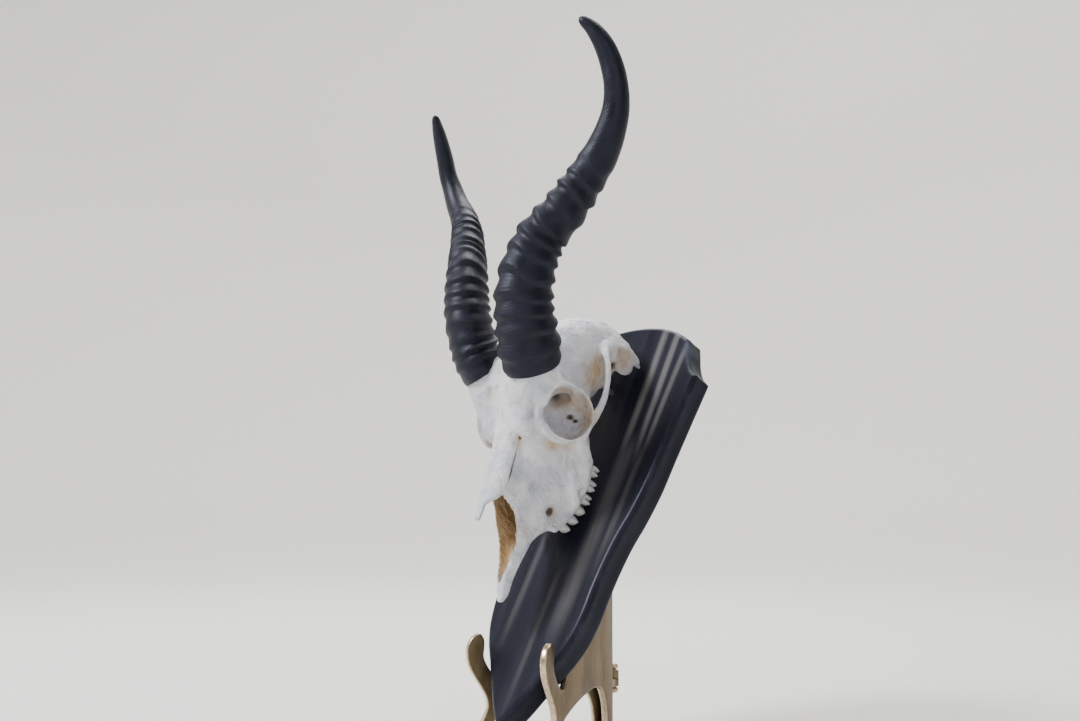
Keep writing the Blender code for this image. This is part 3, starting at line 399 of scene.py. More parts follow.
NOSE_ROOM = [(-0.002, 0.0560, 0.0350, 0.0010, 0.0014), (0.010, 0.0600, 0.0345, 0.0032, 0.0052),
             (0.022, 0.0650, 0.0335, 0.0056, 0.0084), (0.034, 0.0700, 0.0320, 0.0072, 0.0106),
             (0.046, 0.0705, 0.0290, 0.0078, 0.0138), (0.060, 0.0690, 0.0280, 0.0084, 0.0168),
             (0.074, 0.0680, 0.0300, 0.0090, 0.0172), (0.090, 0.0660, 0.0360, 0.0084, 0.0120)]
PALATE = [(0.046, 0.0215, -0.0060, 0.0040, 0.0100), (0.060, 0.0235, -0.0060, 0.0080, 0.0140),
          (0.080, 0.0245, -0.0060, 0.0110, 0.0170), (0.100, 0.0250, -0.0060, 0.0120, 0.0180),
          (0.116, 0.0270, -0.0060, 0.0120, 0.0180)]
BRAIN_ROOM = [(0.134, 0.0800, 0.0420, 0.0130, 0.0120), (0.150, 0.0860, 0.0340, 0.0180, 0.0180),
              (0.168, 0.0800, 0.0270, 0.0190, 0.0200), (0.186, 0.0680, 0.0240, 0.0170, 0.0190),
              (0.200, 0.0520, 0.0240, 0.0110, 0.0120)]

# Power of the oval sections: 2 makes an ellipse, and more makes them squarer
FACE_POWER, NASALS_POWER, NOSE_POWER, BRAIN_POWER = 2.7, 3.2, 2.4, 2.2

# Bars as rows of place and radius, with the width of the soft join
JOINED_BARS = [
    # Cheekbone, from the front of the eye socket down to the jaw
    ([(0.0370, 0.0960, 0.0520, 0.0042), (0.0345, 0.0985, 0.0420, 0.0055),
      (0.0300, 0.0950, 0.0310, 0.0065), (0.0245, 0.0840, 0.0240, 0.0075)], 0.010),
    # Swelling that carries the horn
    ([(0.0170, 0.1100, 0.0750, 0.0150), (0.0215, 0.1215, 0.0865, 0.0170),
      (0.0252, 0.1300, 0.0955, 0.0152)], 0.012),
    # Floor behind the eye socket
    ([(0.0280, 0.1060, 0.0380, 0.0055), (0.0210, 0.1180, 0.0410, 0.0075),
      (0.0130, 0.1360, 0.0410, 0.0100)], 0.008),
    # Brow in front of the horn
    ([(0.0200, 0.1000, 0.0740, 0.0090), (0.0240, 0.1080, 0.0760, 0.0100)], 0.010),
    # Cheek arch, from below the eye socket back to the ear
    ([(0.0385, 0.1085, 0.0475, 0.0040), (0.0395, 0.1200, 0.0430, 0.0034),
      (0.0390, 0.1320, 0.0392, 0.0027), (0.0378, 0.1460, 0.0385, 0.0022),
      (0.0372, 0.1560, 0.0402, 0.0021), (0.0362, 0.1640, 0.0430, 0.0023),
      (0.0330, 0.1715, 0.0450, 0.0026), (0.0255, 0.1790, 0.0430, 0.0042)], 0.004),
    # Crest round the back of the braincase
    ([(0.0010, 0.2060, 0.0400, 0.0022), (0.0130, 0.2025, 0.0350, 0.0022),
      (0.0215, 0.1965, 0.0270, 0.0020), (0.0250, 0.1935, 0.0190, 0.0018),
      (0.0225, 0.1915, 0.0080, 0.0016)], 0.004),
    # Spur behind the ear
    ([(0.0235, 0.1860, 0.0200, 0.0040), (0.0226, 0.1895, 0.0110, 0.0030),
      (0.0214, 0.1905, 0.0040, 0.0016), (0.0212, 0.1900, 0.0012, 0.0009)], 0.005),
    # Thin wall behind the palate
    ([(0.0110, 0.1040, 0.0300, 0.0030), (0.0095, 0.1200, 0.0265, 0.0018),
      (0.0085, 0.1400, 0.0280, 0.0026)], 0.004),
    # Middle of the base
    ([(0.0000, 0.1450, 0.0280, 0.0045), (0.0000, 0.1650, 0.0215, 0.0055),
      (0.0000, 0.1900, 0.0170, 0.0070)], 0.006),
    # Ridge along the floor of the nose
    ([(0.0000, 0.0350, 0.0330, 0.0010), (0.0000, 0.0600, 0.0330, 0.0012),
      (0.0000, 0.0880, 0.0400, 0.0014)], 0.002),
    # Edge of the jaw that holds the cheek teeth
    ([(0.0150, 0.0475, 0.0215, 0.0034), (0.0180, 0.0580, 0.0183, 0.0041),
      (0.0205, 0.0680, 0.0168, 0.0042), (0.0225, 0.0780, 0.0170, 0.0042),
      (0.0240, 0.0880, 0.0190, 0.0042), (0.0255, 0.0980, 0.0230, 0.0046)], 0.004),
    # Ridge down the cheek
    ([(0.0312, 0.0930, 0.0490, 0.0016), (0.0300, 0.0895, 0.0445, 0.0026),
      (0.0288, 0.0850, 0.0385, 0.0030), (0.0268, 0.0775, 0.0290, 0.0030),
      (0.0240, 0.0700, 0.0205, 0.0022)], 0.004),
]
# Lumps as centre, half sizes, turn about the cross axis in degrees and width of the soft join:
# ear capsule, knuckle of the neck joint, swelling behind the ear, plate of the ear
JOINED_LUMPS = [
    ((0.0110, 0.1690, 0.0245), (0.0055, 0.0085, 0.0065), 0, 0.003),
    ((0.0100, 0.1990, 0.0140), (0.0066, 0.0080, 0.0085), 0, 0.004),
    ((0.0230, 0.1820, 0.0330), (0.0060, 0.0100, 0.0115), 0, 0.006),
    ((0.0232, 0.1835, 0.0215), (0.0032, 0.0095, 0.0125), -14, 0.003),
]

# Eye socket: its middle, the way it looks, and the radius of its edge
SOCKET_CENTRE = np.array([0.0385, 0.1135, 0.0648])
SOCKET_AXIS = np.array([0.959, -0.018, 0.283]) / np.linalg.norm([0.959, -0.018, 0.283])
SOCKET_RADIUS = 0.0193
# Bowl and collar of bone that carry it: reach and depth; inset, depth and radius
SOCKET_BOWL = (0.0208, 0.0150)
SOCKET_COLLAR = (0.0022, 0.0042, 0.0042)
# Rim: radius on its thin and its thick side, how proud it stands, and the thick side's way along
# and out of the board
SOCKET_RIM = (0.0012, 0.0032)
SOCKET_RIM_LIFT = 0.0010
SOCKET_THICK_WAY = (-0.64, 0.77)
# Groove outside the thick side of the rim: how far beside and above the edge, its radius, and the
# shares of the thick side over which it comes in
SOCKET_MOAT = (0.0095, 0.0036, 0.0036)
MOAT_SHARES = (0.55, 0.95)
MOAT_FADE = 0.010
# Hollow of the socket: reach, depth and how far its middle is sunk
SOCKET_ROOM = (0.0188, 0.0240, 0.0022)

# Gap between the nasal bone and the upper jaw
NASAL_GAP = [(0.0128, 0.0955, 0.0772, 0.0008), (0.0126, 0.0900, 0.0760, 0.0012),
             (0.0122, 0.0800, 0.0740, 0.0006), (0.0117, 0.0690, 0.0720, 0.0005),
             (0.0110, 0.0580, 0.0700, 0.0005), (0.0104, 0.0450, 0.0668, 0.0008)]
# Hollows as bars, cut with a narrow soft edge
CUT_BARS = [
    (NASAL_GAP, 0.0005),
    # Canal in the jaw before the teeth
    ([(0.0205, 0.0515, 0.0325, 0.0028), (0.0165, 0.0545, 0.0330, 0.0024),
      (0.0120, 0.0600, 0.0350, 0.0018)], 0.0012),
    # Pit in the brow
    ([(0.0085, 0.1090, 0.0975, 0.0014), (0.0085, 0.1120, 0.0978, 0.0018),
      (0.0090, 0.1150, 0.0985, 0.0014)], 0.0040),
    # Long slot in the front of the palate
    ([(0.0038, -0.0010, 0.0300, 0.0012), (0.0040, 0.0080, 0.0310, 0.0018),
      (0.0046, 0.0220, 0.0310, 0.0022), (0.0048, 0.0340, 0.0290, 0.0016)], 0.0010),
    # Passage from the nose to the throat
    ([(0.0000, 0.1120, 0.0200, 0.0060), (0.0000, 0.1080, 0.0330, 0.0075),
      (0.0000, 0.0950, 0.0420, 0.0070), (0.0000, 0.0850, 0.0460, 0.0070)], 0.0020),
    # Hole for the spinal cord
    ([(0.0000, 0.2160, 0.0200, 0.0086), (0.0000, 0.2040, 0.0260, 0.0078),
      (0.0000, 0.1920, 0.0340, 0.0080)], 0.0015),
    # Ear opening
    ([(0.0300, 0.1730, 0.0290, 0.0032), (0.0220, 0.1740, 0.0300, 0.0026)], 0.0020),
]
# Hollows as lumps, with centre, half sizes, turn and soft edge: the deep hollow and the two holes at
# the back of the eye socket, the face of the ear plate, the dents before the teeth and above them
CUT_LUMPS = [
    ((0.0192, 0.1266, 0.0605), (0.0072, 0.0092, 0.0052), 0, 0.0022),
    ((0.0210, 0.1200, 0.0478), (0.0044, 0.0020, 0.0017), 0, 0.0005),
    ((0.0245, 0.1178, 0.0450), (0.0044, 0.0016, 0.0014), 0, 0.0005),
    ((0.0292, 0.1835, 0.0225), (0.0050, 0.0075, 0.0100), -8, 0.0030),
    ((0.0192, 0.0480, 0.0245), (0.0030, 0.0030, 0.0034), 0, 0.0020),
    ((0.0205, 0.0610, 0.0530), (0.0022, 0.0036, 0.0024), 0, 0.0024),
]
# Shallow valleys beside the eye socket, cut before its rim is laid on
VALLEYS = [
    ((0.0405, 0.0880, 0.0570), (0.0085, 0.0115, 0.0110), 20, 0.0060),
    ((0.0335, 0.0995, 0.0840), (0.0060, 0.0080, 0.0060), 0, 0.0060),
    ((0.0305, 0.0790, 0.0500), (0.0080, 0.0130, 0.0090), 0, 0.0060),
]
# Ridge down the back wall of the eye socket
SOCKET_RIDGE = [(0.0330, 0.1315, 0.0610, 0.0002), (0.0275, 0.1300, 0.0560, 0.0009),
                (0.0225, 0.1250, 0.0510, 0.0009), (0.0190, 0.1190, 0.0450, 0.0004)]
RIDGE_JOIN = 0.004


def nearby(low, high, margin):
    """Part of the half grid that holds a box with a margin, as slices."""
    return tuple(slice(max(np.searchsorted(axis, a - margin) - 1, 0),
                       np.searchsorted(axis, b + margin) + 1)
                 for axis, a, b in zip(GRID, low, high))


def grid_places(part):
    """Places across, along and out of the board of the points in a part of the half grid."""
    return np.meshgrid(*(axis[cut] for axis, cut in zip(GRID, part)), indexing="ij", sparse=True)


def soft_join(a, b, width):
    """Lesser of two distances, with the crease filled by a parabola over a width."""
    bite = np.maximum(width - np.abs(a - b), 0) / width
    return np.minimum(a, b) - bite * bite * width / 4


def soft_cut(a, b, width):
    """Distance to the first body without the second, the corner rounded as in a soft join."""
    return -soft_join(-a, b, width)


def sections_field(rows, power=FACE_POWER):
    """Distance to a body of squarish oval sections: in each section the ray from its middle meets
    the edge where the sum of the powers of its two shares is one."""
    rows = np.array(rows)
    x, s, n = grid_places((slice(None),) * 3)
    read = read_rows(rows[:, 0], rows[:, 1:], along_head.clip(rows[0, 0], rows[-1, 0]))
    roof, floor, roof_half, floor_half = (value[None, :, None] for value in read.T)
    middle, tall = (roof + floor) / 2, (roof - floor) / 2
    up = (n - middle) / tall
    half = floor_half + (roof_half - floor_half) * (up.clip(-1, 1) + 1) / 2
    reach = ((np.abs(x) / half) ** power + np.abs(up) ** power) ** (1 / power)
    body = np.sqrt(x ** 2 + (n - middle) ** 2) * (1 - 1 / np.maximum(reach, 0.02))
    return np.maximum(body, np.maximum(rows[0, 0] - s, s - rows[-1, 0]))


def bar_field(rows, part, count=22):
    """Distance to a round bar: the least distance to its short straight stretches, less the radius
    read along each."""
    x, s, n = grid_places(part)
    line = smooth_line(rows, count)
    near = None
    for start, end in zip(line, line[1:]):
        step = end[:3] - start[:3]
        share = ((x - start[0]) * step[0] + (s - start[1]) * step[1] + (n - start[2]) * step[2])
        share = (share / (step @ step)).clip(0, 1)
        gap = np.sqrt((x - start[0] - share * step[0]) ** 2
                      + (s - start[1] - share * step[1]) ** 2
                      + (n - start[2] - share * step[2]) ** 2)
        gap = gap - start[3] - share * (end[3] - start[3])
        near = gap if near is None else np.minimum(near, gap)
    return near


def bar_part(rows, width):
    """Part of the half grid that a bar and its soft join can reach."""
    rows = np.array(rows)
    reach = rows[:, 3:].max()
    return nearby(rows[:, :3].min(axis=0), rows[:, :3].max(axis=0), reach + width + 3 * CELL)


def lump_field(centre, sizes, turn, part):
    """Distance to an oval lump, from its place scaled by the half sizes once and twice."""
    x, s, n = grid_places(part)
    lean = math.radians(turn)
    along = (s - centre[1]) * math.cos(lean) + (n - centre[2]) * math.sin(lean)
    out = (n - centre[2]) * math.cos(lean) - (s - centre[1]) * math.sin(lean)
    across = x - centre[0]
    once = np.sqrt((across / sizes[0]) ** 2 + (along / sizes[1]) ** 2 + (out / sizes[2]) ** 2)
    twice = np.sqrt((across / sizes[0] ** 2) ** 2 + (along / sizes[1] ** 2) ** 2
                    + (out / sizes[2] ** 2) ** 2)
    return once * (once - 1) / np.maximum(twice, 1e-6)


def lump_part(centre, sizes, width):
    """Part of the half grid that a lump and its soft join can reach."""
    centre, reach = np.array(centre), max(sizes)
    return nearby(centre, centre, reach + width + 3 * CELL)


def socket_places(part):
    """Height along the socket's axis, distance from that axis, and share of that distance that
    goes towards the thick side of the rim."""
    x, s, n = grid_places(part)
    dx, ds, dn = x - SOCKET_CENTRE[0], s - SOCKET_CENTRE[1], n - SOCKET_CENTRE[2]
    height = dx * SOCKET_AXIS[0] + ds * SOCKET_AXIS[1] + dn * SOCKET_AXIS[2]
    reach = np.sqrt(np.maximum(dx ** 2 + ds ** 2 + dn ** 2 - height ** 2, 0))
    to_thick = ((ds - height * SOCKET_AXIS[1]) * SOCKET_THICK_WAY[0]
                + (dn - height * SOCKET_AXIS[2]) * SOCKET_THICK_WAY[1])
    return height, reach, to_thick / np.maximum(reach, CELL)


def skull_half():
    """Distance field of half of the skull: the bodies, bars and lumps joined, the rim of the eye
    socket laid on, and the hollows cut."""
    bone = soft_join(sections_field(FACE), sections_field(CRANIUM), 0.009)
    socket = nearby(SOCKET_CENTRE, SOCKET_CENTRE, 0.036)
    height, reach, thick_side = socket_places(socket)
    wide, deep = SOCKET_BOWL
    bowl = (np.sqrt((reach / wide) ** 2 + ((height + deep) / deep) ** 2) - 1) * deep
    inset, depth, radius = SOCKET_COLLAR
    collar = np.sqrt((reach - SOCKET_RADIUS + inset) ** 2 + (height + depth) ** 2) - radius
    bone[socket] = soft_join(bone[socket], soft_join(bowl, collar, 0.004), 0.007)
    for rows, width in JOINED_BARS:
        part = bar_part(rows, width)
        bone[part] = soft_join(bone[part], bar_field(rows, part), width)
    for centre, sizes, turn, width in JOINED_LUMPS:
        part = lump_part(centre, sizes, width)
        bone[part] = soft_join(bone[part], lump_field(centre, sizes, turn, part), width)
    bone = soft_join(bone, sections_field(NASALS, NASALS_POWER), 0.0012)
    for centre, sizes, turn, width in VALLEYS:
        part = lump_part(centre, sizes, width)
        bone[part] = soft_cut(bone[part], lump_field(centre, sizes, turn, part), width)
    thin, thick = SOCKET_RIM
    share = smooth_share(thick_side, -0.1, 0.9)
    rim_radius = thin + (thick - thin) * share
    beside, above, moat_radius = SOCKET_MOAT
    moat = np.sqrt((reach - SOCKET_RADIUS - beside) ** 2 + (height - above) ** 2) - moat_radius
    moat_share = smooth_share(thick_side, *MOAT_SHARES)
    bone[socket] = soft_cut(bone[socket], moat + MOAT_FADE * (1 - moat_share), 0.0040)
    rim = np.sqrt((reach - SOCKET_RADIUS + thin - rim_radius) ** 2
                  + (height - SOCKET_RIM_LIFT + rim_radius) ** 2) - rim_radius
    bone[socket] = soft_join(bone[socket], rim, 0.0016)
    bone = soft_cut(bone, sections_field(NOSE_ROOM, NOSE_POWER), 0.0006)
    bone = soft_cut(bone, sections_field(PALATE), 0.0030)
    bone = soft_cut(bone, sections_field(BRAIN_ROOM, BRAIN_POWER), 0.0010)
    wide, deep, sunk = SOCKET_ROOM
    room = (np.sqrt((reach / wide) ** 2 + ((height + sunk) / deep) ** 2) - 1) * wide
    bone[socket] = soft_cut(bone[socket], room, 0.0008)
    ridge = bar_part(SOCKET_RIDGE, RIDGE_JOIN)
    bone[ridge] = soft_join(bone[ridge], bar_field(SOCKET_RIDGE, ridge), RIDGE_JOIN)
    for rows, width in CUT_BARS:
        part = bar_part(rows, width)
        bone[part] = soft_cut(bone[part], bar_field(rows, part), width)
    for centre, sizes, turn, width in CUT_LUMPS:
        part = lump_part(centre, sizes, width)
        bone[part] = soft_cut(bone[part], lump_field(centre, sizes, turn, part), width)
    return bone


def uneven(places, waves, seed):
    """Slow unevenness between about -2 and 2: sine waves in seeded directions, added up and divided
    by the root of their number."""
    pick = np.random.default_rng(seed)
    total = 0
    for wave in waves:
        way = pick.normal(size=3)
        way *= 2 * np.pi / wave / np.linalg.norm(way)
        total = total + np.sin(places[0] * way[0] + places[1] * way[1] + places[2] * way[2]
                               + pick.uniform(0, 2 * np.pi))
    return total / math.sqrt(len(waves))


def skin_of(field):
    """Points and four-sided faces of the surface where a field on a grid is zero. Each cell that the
    surface crosses gets one point, at the mean of its crossings of the cell's edges, and each
    crossed grid edge gets the face between the four cells around it."""
    inside = field < 0
    shape = np.array(field.shape) - 1
    full = np.zeros(shape, np.int8)
    for i in (0, 1):
        for j in (0, 1):
            for k in (0, 1):
                full += inside[i:i + shape[0], j:j + shape[1], k:k + shape[2]]
    crossed = (full > 0) & (full < 8)
    cells = np.argwhere(crossed)
    number = np.full(shape, -1, np.int32)
    number[crossed] = np.arange(len(cells))
    total, hits = np.zeros((len(cells), 3)), np.zeros(len(cells))
    faces = []
    for axis in range(3):
        one, two = np.roll(np.eye(3, dtype=int), -axis, axis=0)[1:]
        way = np.eye(3, dtype=int)[axis]
        for corner in (0 * one, one, two, one + two):
            near = field[tuple((cells + corner).T)]
            far = field[tuple((cells + corner + way).T)]
            change = (near < 0) != (far < 0)
            share = near / np.where(change, near - far, 1)
            total[change] += (corner + way * share[:, None])[change]
            hits += change
        near = np.take(inside, range(shape[axis]), axis=axis)
        far = np.take(inside, range(1, shape[axis] + 1), axis=axis)
        edges = np.argwhere(near != far)
        held = np.all((edges >= one + two) & (edges <= shape - 1), axis=1)
        edges = edges[held]
        around = (0 * one, one, one + two, two)
        quad = np.stack([number[tuple((edges - back).T)] for back in around], axis=1)
        flip = ~near[tuple(edges.T)]
        quad[flip] = quad[flip][:, ::-1]
        faces.append(quad)
    return cells + total / hits[:, None], np.concatenate(faces)


def read_grid(values, places):
    """Value of a grid at places between its points: the mean of the eight corners by nearness."""
    low = np.clip(np.floor(places).astype(int), 0, np.array(values.shape) - 2)
    share = (places - low).clip(0, 1)
    total = 0
    for i in (0, 1):
        for j in (0, 1):
            for k in (0, 1):
                weight = np.prod(np.abs(1 - np.array([i, j, k]) - share), axis=1)
                total = total + weight * values[low[:, 0] + i, low[:, 1] + j, low[:, 2] + k]
    return total


def smooth_share(value, low, high):
    """Eased way of a value from low to high, as a number from 0 to 1."""
    share = ((value - low) / (high - low)).clip(0, 1)
    return share * share * (3 - 2 * share)


# Stains and painted shade as centre, reach and strength: ochre in the nose, tan stains with painted
# shade in the recesses, grey painted shade beside the eye socket and along the cheek
OCHRE_STAINS = [((0, 0.020, 0.045), 0.026, 1.0), ((0, 0.045, 0.048), 0.028, 1.0),
                ((0, 0.070, 0.050), 0.028, 1.0)]
TAN_STAINS_AND_SHADE = [((0.0170, 0.1280, 0.0572), 0.0085, 0.9), ((0.0320, 0.1300, 0.0550), 0.0080, 1.3),
              ((0.0390, 0.1240, 0.0480), 0.0082, 1.0), ((0.0380, 0.1150, 0.0450), 0.0065, 1.0),
              ((0.0350, 0.1010, 0.0500), 0.0070, 0.8), ((0.0280, 0.0922, 0.0590), 0.0082, 1.4),
              ((0.0270, 0.1320, 0.0680), 0.0060, 1.0), ((0.0085, 0.1120, 0.0975), 0.0042, 0.7),
              ((0.0262, 0.1840, 0.0240), 0.0105, 1.3), ((0.0235, 0.1600, 0.0395), 0.0130, 1.3),
              ((0.0290, 0.0980, 0.0300), 0.0120, 0.4), ((0.0170, 0.0540, 0.0310), 0.0050, 0.7),
              ((0.0122, 0.0905, 0.0760), 0.0034, 1.4), ((0.0120, 0.0840, 0.0748), 0.0030, 1.0),
              ((0.0115, 0.0340, 0.0460), 0.0070, 0.5)]
GREY_SHADE = [((0.0010, 0.0268, 0.0750), 0.0022, 1.0), ((0.0275, 0.0975, 0.0815), 0.0080, 1.6),
               ((0.0165, 0.0630, 0.0522), 0.0050, 1.1), ((0.0140, 0.0480, 0.0510), 0.0060, 0.35),
               ((0.0270, 0.0840, 0.0480), 0.0090, 0.30), ((0.0182, 0.0510, 0.0225), 0.0070, 0.8),
               ((0.0215, 0.1070, 0.0960), 0.0090, 0.6)]
# Painted shade in the dark places: the two holes and the deep hollow at the back of the eye socket,
# the jaw's canal and the ear opening
HOLE_SHADE = [((0.0205, 0.1200, 0.0478), 0.0020, 1.8), ((0.0245, 0.1178, 0.0452), 0.0018, 1.7),
               ((0.0130, 0.1312, 0.0600), 0.0040, 1.2), ((0.0165, 0.0545, 0.0330), 0.0034, 1.4),
               ((0.0220, 0.1740, 0.0300), 0.0040, 1.2)]
# Seams between the bones: upper jaw and front of the nose, in front of the eye socket, across the
# braincase, and down the middle of the nose
SEAMS = [[(0.0130, 0.0560, 0.0560), (0.0125, 0.0500, 0.0520), (0.0125, 0.0400, 0.0495),
          (0.0135, 0.0330, 0.0420), (0.0130, 0.0230, 0.0370), (0.0090, 0.0100, 0.0340)],
         [(0.0130, 0.0930, 0.0765), (0.0170, 0.0960, 0.0790), (0.0230, 0.0930, 0.0730),
          (0.0270, 0.0890, 0.0650), (0.0300, 0.0860, 0.0560), (0.0290, 0.0800, 0.0430)],
         [(0.0000, 0.1540, 0.0960), (0.0110, 0.1520, 0.0940), (0.0210, 0.1560, 0.0850),
          (0.0240, 0.1620, 0.0680), (0.0240, 0.1660, 0.0520)],
         [(0.0000, 0.0450, 0.0774), (0.0000, 0.0750, 0.0808), (0.0000, 0.1060, 0.0900)]]
LINE_POINTS = 70


def stain_and_shade_at(places, stains):
    """Sum of round patches of stain and of painted shade that fade with the square of the distance,
    the same on both sides.
    """
    mirrored = np.abs(places[:, 0])
    total = 0
    for (x, s, n), reach, strength in stains:
        gap = (mirrored - x) ** 2 + (places[:, 1] - s) ** 2 + (places[:, 2] - n) ** 2
        total = total + strength * np.exp(-gap / reach ** 2)
    return total.clip(0, 1)


def line_gap(places, line):
    """Distance of each place from the nearest point of a line, the same on both sides."""
    mirrored = np.column_stack([np.abs(places[:, 0]), places[:, 1:]])
    points = smooth_line(line, LINE_POINTS)
    return np.min([np.linalg.norm(mirrored - point, axis=1) for point in points], axis=0)


def bone_finish():
    """Bleached bone: cool white with faint grey clouds and fine pores, tan where the bleach did not
    reach, deepened by painted shade in the recesses, cream painted shade in the hollows, grey painted
    shade beside the eye socket, brown painted shade in the holes, a black painted shadow in the gap
    beside the nasal bone, ochre inside the nose, thin grey seams between the bones."""
    grey_white, clean_white, clouded = (0.510, 0.520, 0.575), (0.680, 0.683, 0.705), (0.45, 0.45, 0.475)
    hollow_shade_cream, light_tan, grey_shade = (0.50, 0.42, 0.33), (0.43, 0.295, 0.165), (0.31, 0.31, 0.335)
    deep_ochre, pale_ochre = (0.36, 0.235, 0.115), (0.56, 0.40, 0.23)
    hole_shade_brown, seam_grey, gap_shade_black = (0.10, 0.075, 0.055), (0.33, 0.30, 0.28), (0.060, 0.052, 0.048)
    finish, tree, shader = blank_finish("bleached bone")
    place = wire(tree, "ShaderNodeTexCoord").outputs["Object"]
    cloud = noise(tree, place, 55, 5)
    patches = noise(tree, place, 130, 4, 0.6)
    grit = noise(tree, place, 900, 3, 0.6)
    fibres = noise(tree, stretched(tree, place, (1, 0.35, 0.16)), 1100, 4, 0.6)
    colour = tint(tree, between(tree, cloud, 0.36, 0.64), grey_white, clean_white)
    colour = tint(tree, between(tree, patches, 0.52, 0.70, 0, 0.5), colour, clouded)
    # painted shade: cream darkening where the skin is hidden in hollows
    hollow = attribute(tree, "hollow").outputs["Fac"]
    deep = reckon(tree, "ADD", hollow, reckon(tree, "MULTIPLY_ADD", patches, 0.5, -0.25))
    colour = tint(tree, between(tree, deep, 0.5, 1.0, 0, 0.75), colour, hollow_shade_cream)
    # tan stains, with painted shade where they lie in recesses
    tan = attribute(tree, "tan").outputs["Fac"]
    tan = reckon(tree, "MULTIPLY", tan, between(tree, patches, 0.25, 0.6, 0.6, 1))
    colour = tint(tree, tan, colour, light_tan)
    # grey painted shade beside the eye socket, along the cheek and in hollows
    grey = attribute(tree, "grey").outputs["Fac"]
    grey = reckon(tree, "MULTIPLY", grey, between(tree, cloud, 0.3, 0.6, 0.35, 0.85))
    colour = tint(tree, grey, colour, grey_shade)
    ochre = attribute(tree, "ochre").outputs["Fac"]
    colour = tint(tree, ochre, colour, tint(tree, patches, deep_ochre, pale_ochre))
    # brown painted shade in the holes and the deep hollow
    dark = attribute(tree, "dark").outputs["Fac"]
    colour = tint(tree, dark, colour, hole_shade_brown)
    seam = reckon(tree, "MULTIPLY_ADD", reckon(tree, "MULTIPLY_ADD", grit, 2, -1), 0.0012,
                  attribute(tree, "from_seam").outputs["Fac"])
    seam = between(tree, seam, 0.0009, 0.0002)
    colour = tint(tree, reckon(tree, "MULTIPLY", seam, 0.5), colour, seam_grey)
    # black painted shadow along the gap between the nasal bone and the jaw
    gap = between(tree, attribute(tree, "from_gap").outputs["Fac"], 0.0014, 0.0007)
    colour = tint(tree, gap, colour, gap_shade_black)
    tree.links.new(colour, shader.inputs["Base Color"])
    tree.links.new(between(tree, patches, 0.3, 0.7, 0.48, 0.66), shader.inputs["Roughness"])
    shader.inputs["Specular IOR Level"].default_value = 0.4
    pores = wire(tree, "ShaderNodeTexVoronoi", Vector=place, Scale=520).outputs["Distance"]
    rough_places = between(tree, patches, 0.45, 0.68)
    pits = reckon(tree, "MULTIPLY", between(tree, pores, 0.05, 0.32, -1, 0), rough_places)
    base = relief(tree, shader, reckon(tree, "MULTIPLY_ADD", cloud, 2.0, patches), 1.0, 0.0026)
    fine = relief(tree, shader, reckon(tree, "MULTIPLY_ADD", fibres, 0.7, grit), 0.7, 0.0003, base)
    fine = relief(tree, shader, pits, 0.6, 0.0004, fine)
    relief(tree, shader, reckon(tree, "MULTIPLY", seam, -1), 0.4, 0.0003, fine)
    return finish


# Slow unevenness of the grown bone: its height, wave lengths and seed
UNEVEN_HEIGHT = 0.00028
UNEVEN_WAVES = (0.011, 0.014, 0.018, 0.023, 0.031, 0.041)
UNEVEN_SEED = 7
# Longest step, in cells, by which a point is drawn onto the surface, and how far out from the skin
# the field is read to find how hidden a place is
DRAW_STEP = 0.4
HOLLOW_REACHES = (0.003, 0.006, 0.010, 0.015)

half_field = skull_half()
field = np.concatenate([half_field[::-1], half_field])
grid_corner = np.array([-across_half[-1], along_head[0], out_of_board[0]])
whole_grid = np.meshgrid(*(grid_corner[i] + np.arange(field.shape[i]) * CELL for i in range(3)),
                         indexing="ij", sparse=True)
field = field + UNEVEN_HEIGHT * uneven(whole_grid, UNEVEN_WAVES, UNEVEN_SEED)
skin, skin_faces = skin_of(field)
slopes = np.gradient(field)
for _ in range(2):
    slope = np.stack([read_grid(part, skin) for part in slopes], axis=1)
    steepness = np.maximum((slope ** 2).sum(axis=1), 1e-9)[:, None]
    step = read_grid(field, skin)[:, None] * slope / steepness
    skin = skin - step.clip(-DRAW_STEP, DRAW_STEP)
outward = np.stack([read_grid(part, skin) for part in slopes], axis=1)
outward /= np.linalg.norm(outward, axis=1)[:, None]
skull_places = grid_corner + skin * CELL
# how hidden each place is, read outward from the skin, for the painted shade in the hollows
hollow = 1 - np.mean([(read_grid(field, skin + outward * reach / CELL) / reach).clip(0, 1)
                      for reach in HOLLOW_REACHES], axis=0)
skull = new_piece("springbok_skull", stand_up(skull_places), skin_faces, bone_finish())
mark(skull, "hollow", hollow)
inner = smooth_share(hollow, 0.15, 0.6)
in_nose = sections_field(NOSE_ROOM, NOSE_POWER)
in_nose = read_grid(np.concatenate([in_nose[::-1], in_nose]), skin)
ochre = stain_and_shade_at(skull_places, OCHRE_STAINS) * smooth_share(-in_nose, -0.0012, -0.0002)
mark(skull, "ochre", ochre)
# tan stains, made stronger in the recesses as painted shade
mark(skull, "tan", stain_and_shade_at(skull_places, TAN_STAINS_AND_SHADE) * (0.75 + 0.25 * inner))
mark(skull, "grey", stain_and_shade_at(skull_places, GREY_SHADE))
mark(skull, "dark", stain_and_shade_at(skull_places, HOLE_SHADE))
mark(skull, "from_gap", line_gap(skull_places, np.array(NASAL_GAP)[:, :3]))
mark(skull, "from_seam", np.min([line_gap(skull_places, line) for line in SEAMS], axis=0))
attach(skull, "root")
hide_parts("skull")


# Cheek teeth: three premolars and three molars a side, each rooted in a socket of its own in the
# jaw. Greyish enamel with a lobed outer wall and worn crescent cusps; one or two lobes a tooth.

